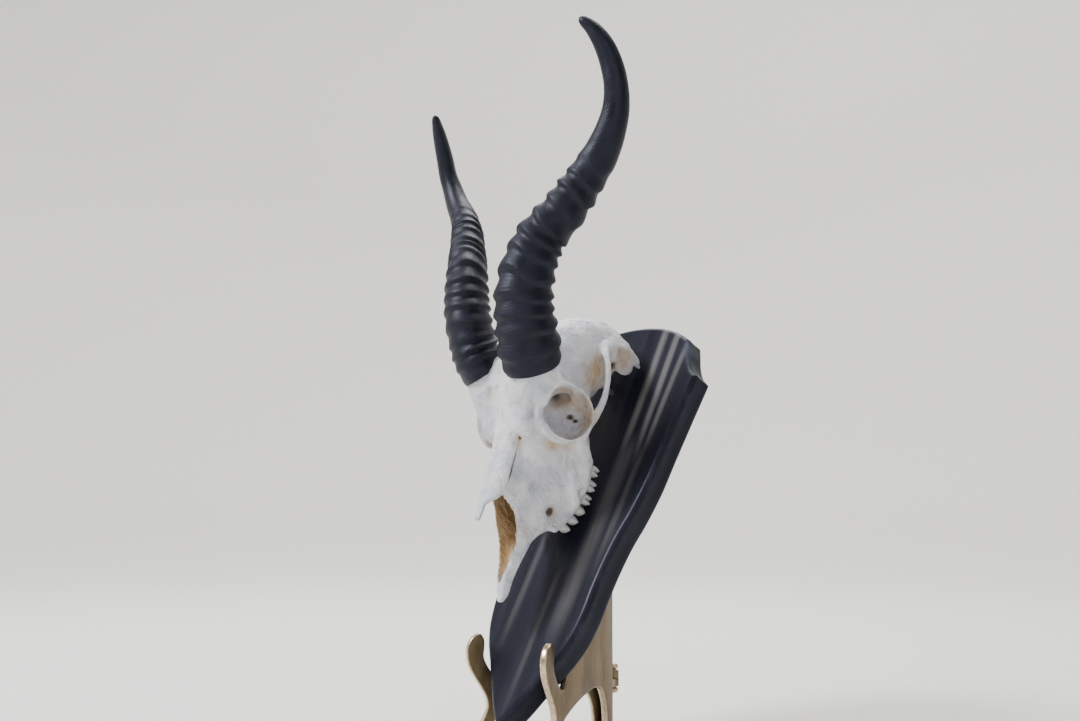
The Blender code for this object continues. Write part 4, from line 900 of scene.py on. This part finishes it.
# Name, length along the jaw, number of lobes
CHEEK_TEETH = [("premolar_1", 0.0066, 1), ("premolar_2", 0.0072, 1), ("premolar_3", 0.0076, 1),
               ("molar_1", 0.0090, 2), ("molar_2", 0.0096, 2), ("molar_3", 0.0090, 2)]
FIRST_TOOTH = 0.0470
TOOTH_SPACING = 0.0006
TOOTH_WIDTH = 0.0066
# Place along the head, distance of the row from the middle, height of the tips above the board
TOOTH_ROW = [(0.047, 0.0150, 0.0115), (0.058, 0.0180, 0.0075), (0.068, 0.0205, 0.0058),
             (0.078, 0.0225, 0.0060), (0.088, 0.0240, 0.0080), (0.100, 0.0255, 0.0120)]
# Height above the tip, share of the length, share of the width, from the root's end to the basin
TOOTH_PROFILE = [(0.0136, 0.00, 0.00), (0.0136, 0.50, 0.36), (0.0120, 0.66, 0.50),
                 (0.0092, 0.80, 0.62), (0.0070, 0.88, 0.76), (0.0052, 0.94, 0.90),
                 (0.0036, 0.97, 0.96), (0.0020, 0.97, 0.94), (0.0008, 0.91, 0.84),
                 (0.0001, 0.80, 0.70), (0.0003, 0.62, 0.50), (0.0012, 0.42, 0.30),
                 (0.0018, 0.22, 0.12), (0.0018, 0.00, 0.00)]
TOOTH_ROWS, TOOTH_AROUND = 40, 56
TOOTH_CORNERS = 0.75
LOBE_SWELL = 0.20
CUSP_HEIGHT = 0.0020
# Heights above the tip at which the lobes and the cusps are gone, and at which they are full
CROWN_FADE = (0.0085, 0.0045)
CUSP_FADE = (0.0046, 0.0006)


def enamel():
    """Grey-white enamel with fine upright lines, browner in the grooves between the lobes, in the basin
    and in clouds.
    """
    dull_enamel, clean_enamel, brown = (0.34, 0.34, 0.34), (0.56, 0.555, 0.54), (0.13, 0.11, 0.09)
    finish, tree, shader = blank_finish("tooth enamel")
    place = attribute(tree, "tooth_place").outputs["Vector"]
    cloud = noise(tree, place, 260, 4)
    lines = noise(tree, stretched(tree, place, (1, 1, 0.18)), 1500, 4)
    colour = tint(tree, cloud, dull_enamel, clean_enamel)
    groove = attribute(tree, "groove").outputs["Fac"]
    browner = reckon(tree, "ADD", groove, reckon(tree, "MULTIPLY_ADD", cloud, 0.5, -0.25))
    colour = tint(tree, between(tree, browner, 0.3, 0.9, 0, 0.85), colour, brown)
    tree.links.new(colour, shader.inputs["Base Color"])
    tree.links.new(between(tree, lines, 0.3, 0.7, 0.26, 0.42), shader.inputs["Roughness"])
    relief(tree, shader, lines, 0.35, 0.0002)
    return finish


def tooth_grid(length, lobes, side, middle, reach, tip):
    """Tooth as rings about its own height: a squarish oval whose outer wall swells at each lobe,
    and whose biting edge rises and falls from cusp to cusp. Returns its places and its grooves."""
    profile = smooth_line(TOOTH_PROFILE, TOOTH_ROWS)
    profile[0, 1:] = profile[-1, 1:] = 0
    round_way = np.linspace(0, 2 * np.pi, TOOTH_AROUND, endpoint=False)
    cos, sin = np.cos(round_way), np.sin(round_way)
    along = np.sign(cos) * np.abs(cos) ** TOOTH_CORNERS
    outer = np.sign(sin) * np.abs(sin) ** TOOTH_CORNERS
    lobe = np.cos(np.pi * lobes * along) * (-1) ** (lobes + 1)
    wall = 1 + LOBE_SWELL * lobe * (np.abs(sin) ** 0.5)
    height, share_long, share_wide = (column[:, None] for column in profile.T)
    crown = smooth_share(height, *CROWN_FADE)
    place_along = middle + along * share_long * length / 2
    place_across = reach + outer * share_wide * (1 + (wall - 1) * crown) * TOOTH_WIDTH / 2
    from_point = np.abs(lobes * (along + 1) / 2 % 1 - 0.5) * 2
    cusp = from_point * CUSP_HEIGHT * smooth_share(height, *CUSP_FADE)
    place_out = tip + height + cusp
    basin = smooth_share(0.0016 - share_long * 0.002, 0.0004, 0.0012)
    groove = (0.5 - 0.5 * lobe) * crown * 0.7 + basin
    x = side * place_across
    places = np.stack(np.broadcast_arrays(x, place_along, place_out), axis=-1)
    return places, np.broadcast_to(groove.clip(0, 1), x.shape)


enamel_finish = enamel()
tooth_row = np.array(TOOTH_ROW)
tooth_front = FIRST_TOOTH
for word, length, lobes in CHEEK_TEETH:
    middle = tooth_front + length / 2
    tooth_front += length + TOOTH_SPACING
    reach, tip = read_rows(tooth_row[:, 0], tooth_row[:, 1:], [middle])[0]
    for side, side_word in ((1, "left"), (-1, "right")):
        places, groove = tooth_grid(length, lobes, side, middle, reach, tip)
        faces = strip_faces(*groove.shape, closed_across=True)[:, ::-side]
        tooth = new_piece(f"{side_word}_{word}_tooth", stand_up(places), faces, enamel_finish)
        mark(tooth, "tooth_place", places.reshape(-1, 3))
        mark(tooth, "groove", groove.ravel())
        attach(tooth, "root")
        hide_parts(f"{side_word}_{word}")


# Horn sheaths: curved cones of black keratin with wavy rings round their lower two thirds and a
# smooth tip. Each grew over a bony core and is slipped back over it, so its base is an open rim.

# Centre line of the left horn from base to tip; the right one is mirrored and a little shorter
HORN_LINE = [(0.0260, 0.1310, 0.0970), (0.0285, 0.1440, 0.1110), (0.0305, 0.1660, 0.1285),
             (0.0345, 0.1880, 0.1375), (0.0410, 0.2080, 0.1410), (0.0505, 0.2235, 0.1405),
             (0.0585, 0.2385, 0.1412), (0.0670, 0.2540, 0.1425), (0.0760, 0.2680, 0.1455),
             (0.0840, 0.2800, 0.1510), (0.0895, 0.2920, 0.1575), (0.0925, 0.3030, 0.1660),
             (0.0922, 0.3140, 0.1755), (0.0900, 0.3240, 0.1870), (0.0860, 0.3305, 0.1975),
             (0.0805, 0.3340, 0.2070)]
# Share of the length, long width
HORN_WIDTH = [(0, 0.0376), (0.02, 0.0402), (0.05, 0.0418), (0.12, 0.0402), (0.22, 0.0378),
              (0.31, 0.0348), (0.40, 0.0312), (0.49, 0.0288), (0.56, 0.0265), (0.62, 0.0246),
              (0.68, 0.0215), (0.74, 0.0188), (0.79, 0.0170), (0.85, 0.0158), (0.91, 0.0135),
              (0.96, 0.0098), (0.99, 0.0060), (1, 0.0028)]
# Short width as a share of the long one, and the long one's way at the base
HORN_FLATNESS = 0.84
HORN_WIDE_AXIS = np.array([0.67, 0.33, -0.67])
# Rise of the base edge for each metre across, along and out of the board, and the share of the
# length over which it fades
HORN_BASE_SLANT = np.array([-0.13, 0, -0.25])
HORN_SLANTED = 0.3
HORN_WALL = 0.0022
HORN_HOLLOW = 0.05
HORN_PATTERN_RADIUS = 0.018
HORN_AROUND, PATH_POINTS = 112, 600
HOLLOW_ROWS, RINGED_ROWS, TIP_ROWS = 12, 350, 70
# Word, side, share of the left horn's height, rings, share of the length with rings, their depth,
# seed
HORNS = [("left", 1, 1.0, 13, 0.63, 0.0033, 3), ("right", -1, 0.9, 16, 0.64, 0.0026, 8)]


def keratin():
    """Near-black horn: blue-black in the valleys, dry brown-grey on the worn crests of the rings,
    fine lengthwise fibres, satin, and smoother towards the tip."""
    blue_black, pale_black = (0.0022, 0.0024, 0.0056), (0.0052, 0.0056, 0.0120)
    dry_crest, grey_fibre = (0.042, 0.036, 0.034), (0.035, 0.032, 0.034)
    finish, tree, shader = blank_finish("black keratin")
    place = attribute(tree, "horn_place").outputs["Vector"]
    crest = attribute(tree, "crest").outputs["Fac"]
    smooth_tip = attribute(tree, "smooth_tip").outputs["Fac"]
    cloud = noise(tree, place, 90, 5)
    fibres = noise(tree, stretched(tree, place, (1, 0.09, 1)), 1300, 5, 0.65)
    flakes = noise(tree, stretched(tree, place, (0.5, 1.6, 1)), 420, 4, 0.6)
    colour = tint(tree, between(tree, cloud, 0.35, 0.7), blue_black, pale_black)
    dry = reckon(tree, "ADD", crest, reckon(tree, "MULTIPLY_ADD", flakes, 0.9, -0.45))
    colour = tint(tree, between(tree, dry, 0.65, 1.2, 0, 0.6), colour, dry_crest)
    colour = tint(tree, between(tree, fibres, 0.62, 0.80, 0, 0.3), colour, grey_fibre)
    tree.links.new(colour, shader.inputs["Base Color"])
    satin = between(tree, cloud, 0.3, 0.7, 0.42, 0.54)
    satin = reckon(tree, "MULTIPLY_ADD", crest, 0.10, satin)
    satin = reckon(tree, "MULTIPLY_ADD", smooth_tip, -0.06, satin)
    tree.links.new(satin, shader.inputs["Roughness"])
    shader.inputs["Specular IOR Level"].default_value = 0.32
    shader.inputs["Specular Tint"].default_value = (0.78, 0.82, 1.0, 1)
    under = relief(tree, shader, flakes, 0.5, 0.0006)
    relief(tree, shader, fibres, 0.30, 0.00022, under)
    return finish


def horn_frame(side, height, shares):
    """Sections of the sheath at shares of its length: their centres on the smooth line, the way
    along, and the wide and flat ways square to it. Gives the length as well."""
    line = np.array(HORN_LINE)
    up = np.array([0, math.cos(LEAN), math.sin(LEAN)])
    line = line - np.outer((line - line[0]) @ up * (1 - height), up)
    line[:, 0] *= side
    places = np.concatenate([[0], np.cumsum(np.linalg.norm(np.diff(line, axis=0), axis=1))])
    length = places[-1]
    centre = read_rows(places, line, shares * length)
    path = read_rows(places, line, np.linspace(0, length, PATH_POINTS))
    path_shares, path_way = np.linspace(0, 1, PATH_POINTS), np.gradient(path, axis=0)
    tangent = np.stack([np.interp(shares, path_shares, way) for way in path_way.T], axis=1)
    tangent /= np.linalg.norm(tangent, axis=1)[:, None]
    wide = HORN_WIDE_AXIS * (side, 1, 1)
    wide = wide - tangent * (tangent @ wide)[:, None]
    wide /= np.linalg.norm(wide, axis=1)[:, None]
    return centre, tangent, wide, np.cross(tangent, wide), length


def ring_relief(side, share, angle, rings, ringed, depth, seed):
    """Rise of the surface, and how much of a crest each place is. The rings are counted along the
    horn, and slow waves along it and round it bend the count. Each ring then rises steeply and
    falls away gently. It is weaker at the back and fades out at the tip, and chips roughen the base.
    """
    bends = np.random.default_rng(seed).uniform(0, 2 * np.pi, 6)
    count = rings * (share / ringed) ** 0.92
    count = count + 0.13 * np.sin(1.7 * count + bends[0])
    count = count + 0.11 * np.sin(angle + bends[2] + 0.4 * count) + 0.12 * np.sin(2 * angle + bends[3])
    count = count + 0.07 * np.sin(3 * angle + 0.9 * count + bends[4])
    turn = count - np.floor(count)
    swell = smooth_share(turn, 0, 0.34) * (1 - smooth_share(turn, 0.30, 1.0))
    front = 0.82 + 0.18 * np.cos(angle - math.pi * 0.55 * side)
    fade = smooth_share(ringed * 1.06 - share, 0, 0.22) * smooth_share(share, -0.02, 0.05)
    fade = fade * (0.85 + 0.15 * np.sin(2.3 * count + bends[5]))
    chips = np.sin(46 * count + 3 * np.sin(2 * angle + bends[1]) + 2 * np.sin(5 * angle + bends[4]))
    rise = (depth * (swell - 0.45) * front * fade
            + 0.0005 * np.sin(2 * angle + 5 * share + bends[0]) * (1 - share)
            + 0.00012 * chips * (1 - smooth_share(share, 0.05, 0.35)))
    return rise, (swell * fade * front).clip(0, 1)


def horn_grid(side, height, rings, ringed, depth, seed):
    """Sheath as ovals along a curved line, with the rings' rise added to their radius. The grid runs
    from the bottom of the hollow, out over the rim and up to the tip. Returns its points, crests,
    places for the finish, and how far each point is onto the smooth tip."""
    tip_shares = ringed + (1 - ringed) * np.linspace(0, 1, TIP_ROWS) ** 0.9
    shares = np.concatenate([np.linspace(HORN_HOLLOW, 0, HOLLOW_ROWS),
                             np.linspace(0, ringed, RINGED_ROWS, endpoint=False), tip_shares])
    share = shares[:, None]
    angle = np.linspace(0, 2 * np.pi, HORN_AROUND, endpoint=False)[None, :]
    centre, tangent, wide, flat, length = horn_frame(side, height, shares)
    rise, crest = ring_relief(side, share, angle, rings, ringed, depth, seed)
    rise[:HOLLOW_ROWS] = -HORN_WALL
    widths = np.array(HORN_WIDTH)
    half = read_rows(widths[:, 0], widths[:, 1:], shares) / 2
    radius = np.maximum(half + rise, half * 0.2)
    offset = (wide[:, None] * (radius * np.cos(angle))[..., None]
              + flat[:, None] * (radius * HORN_FLATNESS * np.sin(angle))[..., None])
    slanted = (1 - shares / HORN_SLANTED).clip(0, 1)[:, None, None]
    lift = (offset @ (HORN_BASE_SLANT * (side, 1, 1)))[..., None] * slanted
    points = centre[:, None] + offset + tangent[:, None] * lift
    points[0] = points[0].mean(axis=0)
    points[-1] = points[-1].mean(axis=0)
    place = (np.cos(angle) * HORN_PATTERN_RADIUS, share * length, np.sin(angle) * HORN_PATTERN_RADIUS)
    place = np.stack(np.broadcast_arrays(*place), axis=-1)
    smooth_tip = smooth_share(share, ringed * 0.95, ringed * 1.15)
    return points, crest, place, np.broadcast_to(smooth_tip, crest.shape)


keratin_finish = keratin()
for word, side, *rest in HORNS:
    points, crest, place, tip = horn_grid(side, *rest)
    faces = strip_faces(*crest.shape, closed_across=True)
    horn = new_piece(f"{word}_horn_sheath", stand_up(points), faces, keratin_finish)
    mark(horn, "crest", crest.ravel())
    mark(horn, "horn_place", place.reshape(-1, 3))
    mark(horn, "smooth_tip", tip.ravel())
    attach(horn, "root")
    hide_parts(f"horn_{word}")


# Easel: two cast brass plates with leaf-shaped fingers, feet and an arch between the feet, darkened
# with age and rubbed bright along their rounded edges. They fold about the hinge at their back.

EASEL_SPREAD = math.radians(20.3)
HINGE_BEHIND = 0.076
HINGE_DEPTH = HINGE_BEHIND - FOOTPRINT_CENTRE
PLATE_THICK = 0.005
PLATE_ROUNDING = 0.0014
PLATE_REAR = 0.0073
PLATE_TOP = 0.165
# Outline as reach from the hinge line and height: the front from the rest down to the foot, and the
# arch between the feet
PLATE_FRONT = [(0.0865, 0.0515), (0.0895, 0.0505), (0.0945, 0.0540), (0.0995, 0.0600),
               (0.1022, 0.0660), (0.1020, 0.0730), (0.1025, 0.0790), (0.1055, 0.0825),
               (0.1105, 0.0805), (0.1143, 0.0745), (0.1150, 0.0680), (0.1135, 0.0610),
               (0.1090, 0.0525), (0.1040, 0.0450), (0.1005, 0.0385), (0.0993, 0.0330),
               (0.1010, 0.0270), (0.1055, 0.0190), (0.1105, 0.0110), (0.1165, 0.0040),
               (0.1180, 0)]
PLATE_ARCH = [(0.1060, 0), (0.1010, 0.0100), (0.0950, 0.0200), (0.0870, 0.0305), (0.0790, 0.0345),
              (0.0670, 0.0390), (0.0510, 0.0430), (0.0350, 0.0448), (0.0270, 0.0425),
              (0.0215, 0.0350), (0.0180, 0.0200), (0.0190, 0)]
FRONT_POINTS, ARCH_POINTS = 130, 60
FRONT_CORNER, REAR_CORNER = 0.004, 0.006
REST_FOOT = 0.0560
REST_TOP = PLATE_TOP - REAR_CORNER
CLEARANCE = 0.0003
LUG_RADIUS = 0.0034
LUG_ROOT = 0.003
LUG_ROUNDING = 0.0004
LUG_HEIGHT = 0.0055
LUG_HEIGHTS = (0.041, 0.140)
PIN_RADIUS = 0.0015
PIN_KNOB = 0.0030


def brass():
    """Antique cast brass: brown-gold with darker patina in clouds, faint casting grain, and bright
    metal where the edges are rubbed."""
    dark_brass, brown_brass = (0.090, 0.064, 0.037), (0.195, 0.142, 0.084)
    spot_brown, bright_brass = (0.085, 0.065, 0.042), (0.66, 0.53, 0.36)
    finish, tree, shader = blank_finish("antique cast brass")
    place = wire(tree, "ShaderNodeTexCoord").outputs["Object"]
    cloud = noise(tree, stretched(tree, place, (1, 1, 0.4)), 70, 5)
    grain = noise(tree, place, 1400, 3)
    spots = noise(tree, place, 320, 4)
    colour = tint(tree, between(tree, cloud, 0.3, 0.7), dark_brass, brown_brass)
    colour = tint(tree, between(tree, spots, 0.58, 0.75, 0, 0.5), colour, spot_brown)
    rubbed = attribute(tree, "rubbed").outputs["Fac"]
    rubbed = reckon(tree, "MULTIPLY", rubbed, between(tree, spots, 0.25, 0.6, 0.5, 1))
    colour = tint(tree, rubbed, colour, bright_brass)
    tree.links.new(colour, shader.inputs["Base Color"])
    dull = between(tree, cloud, 0.3, 0.7, 0.36, 0.5)
    tree.links.new(reckon(tree, "MULTIPLY_ADD", rubbed, -0.14, dull), shader.inputs["Roughness"])
    shader.inputs["Metallic"].default_value = 1.0
    under = relief(tree, shader, cloud, 0.25, 0.0008)
    relief(tree, shader, grain, 0.28, 0.00015, under)
    return finish


def rest_reach(height):
    """Reach from the hinge line at which a plate meets the board's back, at a height."""
    back = (BOARD_THICK + math.sin(LEAN) * (height - FACE_HEIGHT)) / math.cos(LEAN)
    corner = PLATE_THICK / 2 * math.tan(EASEL_SPREAD)
    return (HINGE_BEHIND - back) / math.cos(EASEL_SPREAD) - corner - CLEARANCE / math.cos(LEAN)


def flat_plate(name, outline, thick, rounding):
    """Mesh of a flat plate in the XY plane with a closed outline and rounded edges."""
    curve = bpy.data.curves.new(name, "CURVE")
    curve.dimensions = "2D"
    curve.fill_mode = "BOTH"
    curve.extrude = thick / 2 - rounding
    curve.bevel_depth = rounding
    curve.bevel_resolution = 3
    curve.offset = -rounding
    spline = curve.splines.new("POLY")
    spline.use_cyclic_u = True
    spline.points.add(len(outline) - 1)
    flat = np.column_stack([outline, np.zeros(len(outline)), np.ones(len(outline))])
    spline.points.foreach_set("co", flat.ravel())
    holder = bpy.data.objects.new(name, curve)
    bpy.context.scene.collection.objects.link(holder)
    finished = holder.evaluated_get(bpy.context.evaluated_depsgraph_get())
    mesh = bpy.data.meshes.new_from_object(finished)
    bpy.data.objects.remove(holder, do_unlink=True)
    return mesh


def plate_outline():
    """Plate, anticlockwise: arch, front foot and finger, hook, rest, top and rear leg."""
    rest = [(rest_reach(REST_FOOT), REST_FOOT), (rest_reach(REST_TOP), REST_TOP),
            (rest_reach(PLATE_TOP) - FRONT_CORNER, PLATE_TOP)]
    rear = [(PLATE_REAR + REAR_CORNER, PLATE_TOP), (PLATE_REAR, PLATE_TOP - REAR_CORNER),
            (PLATE_REAR, 0)]
    arch, front = smooth_line(PLATE_ARCH, ARCH_POINTS), smooth_line(PLATE_FRONT, FRONT_POINTS)
    return np.concatenate([arch[::-1], front[::-1], rest, rear])


def place_mesh(name, parts, finish):
    """One piece from meshes and the matrices that set them in place, with coinciding points merged
    and the faces turned outwards."""
    build = bmesh.new()
    for mesh, matrix in parts:
        mesh.transform(matrix)
        build.from_mesh(mesh)
    bmesh.ops.remove_doubles(build, verts=build.verts, dist=0.00001)
    bmesh.ops.recalc_face_normals(build, faces=build.faces)
    mesh = bpy.data.meshes.new(name)
    build.to_mesh(mesh)
    build.free()
    mesh.materials.clear()
    mesh.materials.append(finish)
    mesh.shade_smooth()
    mesh.set_sharp_from_angle(angle=math.radians(35))
    piece = bpy.data.objects.new(name, mesh)
    bpy.context.scene.collection.objects.link(piece)
    return piece


brass_finish = brass()
upright = Matrix(((1, 0, 0, 0), (0, 0, 1, 0), (0, -1, 0, 0), (0, 0, 0, 1)))
lug_turn = np.linspace(math.radians(48), math.radians(312), 28)
lug_half = PLATE_THICK / 2 - LUG_ROUNDING
lug_root = PLATE_REAR + LUG_ROOT
lug_outline = np.concatenate([LUG_RADIUS * np.column_stack([np.cos(lug_turn), np.sin(lug_turn)]),
                              [(lug_root, -lug_half), (lug_root, lug_half)]])
for side, word in ((1, "left"), (-1, "right")):
    forward = Vector((side * math.sin(EASEL_SPREAD), -math.cos(EASEL_SPREAD), 0))
    upward = Vector((0, 0, 1))
    plate_turn = Matrix((forward, upward, forward.cross(upward))).transposed().to_4x4()
    plate_place = Matrix.Translation((0, HINGE_DEPTH, 0)) @ plate_turn
    parts = [(flat_plate("plate", plate_outline(), PLATE_THICK, PLATE_ROUNDING), plate_place)]
    for height in LUG_HEIGHTS:
        low = height if side == 1 else height + LUG_HEIGHT + CLEARANCE
        lift = Matrix.Translation((0, low + LUG_HEIGHT / 2, 0))
        lug = flat_plate("lug", lug_outline, LUG_HEIGHT, LUG_ROUNDING)
        parts.append((lug, plate_place @ lift @ upright))
    plate = place_mesh(f"{word}_easel_plate", parts, brass_finish)
    corners = np.empty(len(plate.data.vertices) * 3)
    plate.data.vertices.foreach_get("co", corners)
    corners = np.column_stack([corners.reshape(-1, 3), np.ones(len(corners) // 3)])
    from_middle = np.abs(corners @ np.array(plate_place.inverted()).T)[:, 2]
    edge = smooth_share(from_middle, 0, PLATE_THICK / 2 - PLATE_ROUNDING)
    rim = smooth_share(PLATE_THICK / 2 - from_middle, 0.00005, 0.0006)
    mark(plate, "rubbed", rim * edge.clip(0.6, 1))
    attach(plate, "root")
    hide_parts(f"easel_plate_{word}")


# Hinge pins: brass pins through the plates' lugs, each kept in by a round knob at both ends. They
# stand upright behind the board, and both plates turn about them when the easel is folded.

KNOB_FLATNESS = 0.8
PIN_AROUND = 40
PIN_WEAR = 0.7

knob_arc = np.linspace(0, math.pi, 18)
knob = PIN_KNOB * np.column_stack([np.sin(knob_arc), KNOB_FLATNESS * np.cos(knob_arc)])
pin_turn = np.linspace(0, 2 * np.pi, PIN_AROUND, endpoint=False)
for height, word in zip(LUG_HEIGHTS, ("low", "high")):
    low, high = height - CLEARANCE, height + 2 * LUG_HEIGHT + 2 * CLEARANCE
    pin_profile = np.concatenate([knob + (0, high + PIN_KNOB * KNOB_FLATNESS),
                                  [(PIN_RADIUS, high), (PIN_RADIUS, low)],
                                  knob + (0, low - PIN_KNOB * KNOB_FLATNESS)])
    pin_radius, pin_height = pin_profile[:, :1], pin_profile[:, 1:]
    pin_y = pin_radius * np.sin(pin_turn) + HINGE_DEPTH
    pin_points = np.broadcast_arrays(pin_radius * np.cos(pin_turn), pin_y, pin_height)
    pin_points = np.stack(pin_points, axis=-1)
    pin_faces = strip_faces(len(pin_profile), PIN_AROUND, closed_across=True)[:, ::-1]
    pin = new_piece(f"{word}_hinge_pin", pin_points, pin_faces, brass_finish)
    mark(pin, "rubbed", np.full(pin_points.size // 3, PIN_WEAR))
    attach(pin, "root")
    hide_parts(f"hinge_pin_{word}")


# Stage: a plain pale floor that sweeps up into a backdrop behind the trophy, four soft lights, and
# the camera, which looks a little upwards at the skull's left side.

# Reach from the middle and height of the floor and backdrop
STAGE = [(0.0, 0.0), (0.5, 0.0), (1.2, 0.0), (1.8, 0.0), (2.3, 0.04), (2.75, 0.20), (3.0, 0.6),
         (3.06, 1.2), (3.08, 2.0), (3.10, 3.0)]
STAGE_OPEN = math.radians(130)
STAGE_EASE = 0.35
STAGE_ROWS = 60
STAGE_AROUND = 120
HEADING = math.radians(48)
sweep = smooth_line(STAGE, STAGE_ROWS)
stage_turn = np.linspace(0, 2 * np.pi, STAGE_AROUND, endpoint=False)
from_front = np.abs(stage_turn - math.pi)
open_share = smooth_share(from_front, STAGE_OPEN / 2 + STAGE_EASE, STAGE_OPEN / 2)
stage_turn = stage_turn + HEADING + math.pi / 2
stage_points = np.broadcast_arrays(sweep[:, :1] * np.cos(stage_turn),
                                   sweep[:, :1] * np.sin(stage_turn),
                                   sweep[:, 1:].clip(0) * (1 - open_share))
stage_points = np.stack(stage_points, axis=-1)
pale, tree, shader = blank_finish("pale stage")
shader.inputs["Base Color"].default_value = (0.72, 0.71, 0.685, 1)
shader.inputs["Roughness"].default_value = 0.9
stage = new_piece("floor_and_backdrop", stage_points,
                  strip_faces(STAGE_ROWS, STAGE_AROUND, closed_across=True), pale)


def soft_light(name, place, aim, size, power, colour):
    """Square soft light that points from a place to an aim."""
    lamp = bpy.data.lights.new(name, "AREA")
    lamp.shape = "RECTANGLE"
    lamp.size, lamp.size_y = size
    lamp.energy = power
    lamp.color = colour
    holder = bpy.data.objects.new(name, lamp)
    bpy.context.scene.collection.objects.link(holder)
    holder.location = place
    way = Vector(aim) - Vector(place)
    holder.rotation_euler = way.to_track_quat("-Z", "Y").to_euler()


soft_light("window", (-0.55, -1.75, 1.75), (0, 0, 0.25), (0.6, 0.6), 82, (0.985, 0.99, 1.0))
soft_light("top light", (-0.9, 0.8, 2.3), (0, 0, 0.25), (1.4, 1.4), 52, (0.98, 0.985, 1.0))
soft_light("side fill", (1.5, -0.9, 0.7), (0, 0, 0.25), (0.8, 0.8), 7, (0.96, 0.98, 1.0))
soft_light("wall light", (0.2, 0.6, 2.7), (-2.2, 2.0, 1.0), (1.2, 1.2), 90, (1.0, 0.99, 0.97))
world = bpy.data.worlds.new("studio")
bpy.context.scene.world = world
world.use_nodes = True
background = world.node_tree.nodes["Background"]
background.inputs["Color"].default_value = (0.80, 0.82, 0.85, 1)
background.inputs["Strength"].default_value = 0.26

# Camera: which way it looks, how far it stands from the trophy, and how high
PITCH_UP = math.radians(8.1)
ROLL = math.radians(0.4)
DISTANCE = 0.75
EYE_HEIGHT = 0.169
look = Vector((-math.sin(HEADING) * math.cos(PITCH_UP), math.cos(HEADING) * math.cos(PITCH_UP),
               math.sin(PITCH_UP)))
right = Vector((math.cos(HEADING), math.sin(HEADING), 0))
up = right.cross(look)
rolled_right = right * math.cos(ROLL) + up * math.sin(ROLL)
rolled_up = up * math.cos(ROLL) - right * math.sin(ROLL)
camera_data = bpy.data.cameras.new("camera")
camera_data.lens = 35
camera_data.sensor_width = 36
camera_data.clip_start = 0.02
camera = bpy.data.objects.new("camera", camera_data)
bpy.context.scene.collection.objects.link(camera)
camera_turn = Matrix((rolled_right, rolled_up, -look)).transposed().to_4x4()
eye = (DISTANCE * math.sin(HEADING), -DISTANCE * math.cos(HEADING) - FOOTPRINT_CENTRE, EYE_HEIGHT)
camera.matrix_world = Matrix.Translation(eye) @ camera_turn
bpy.context.scene.camera = camera
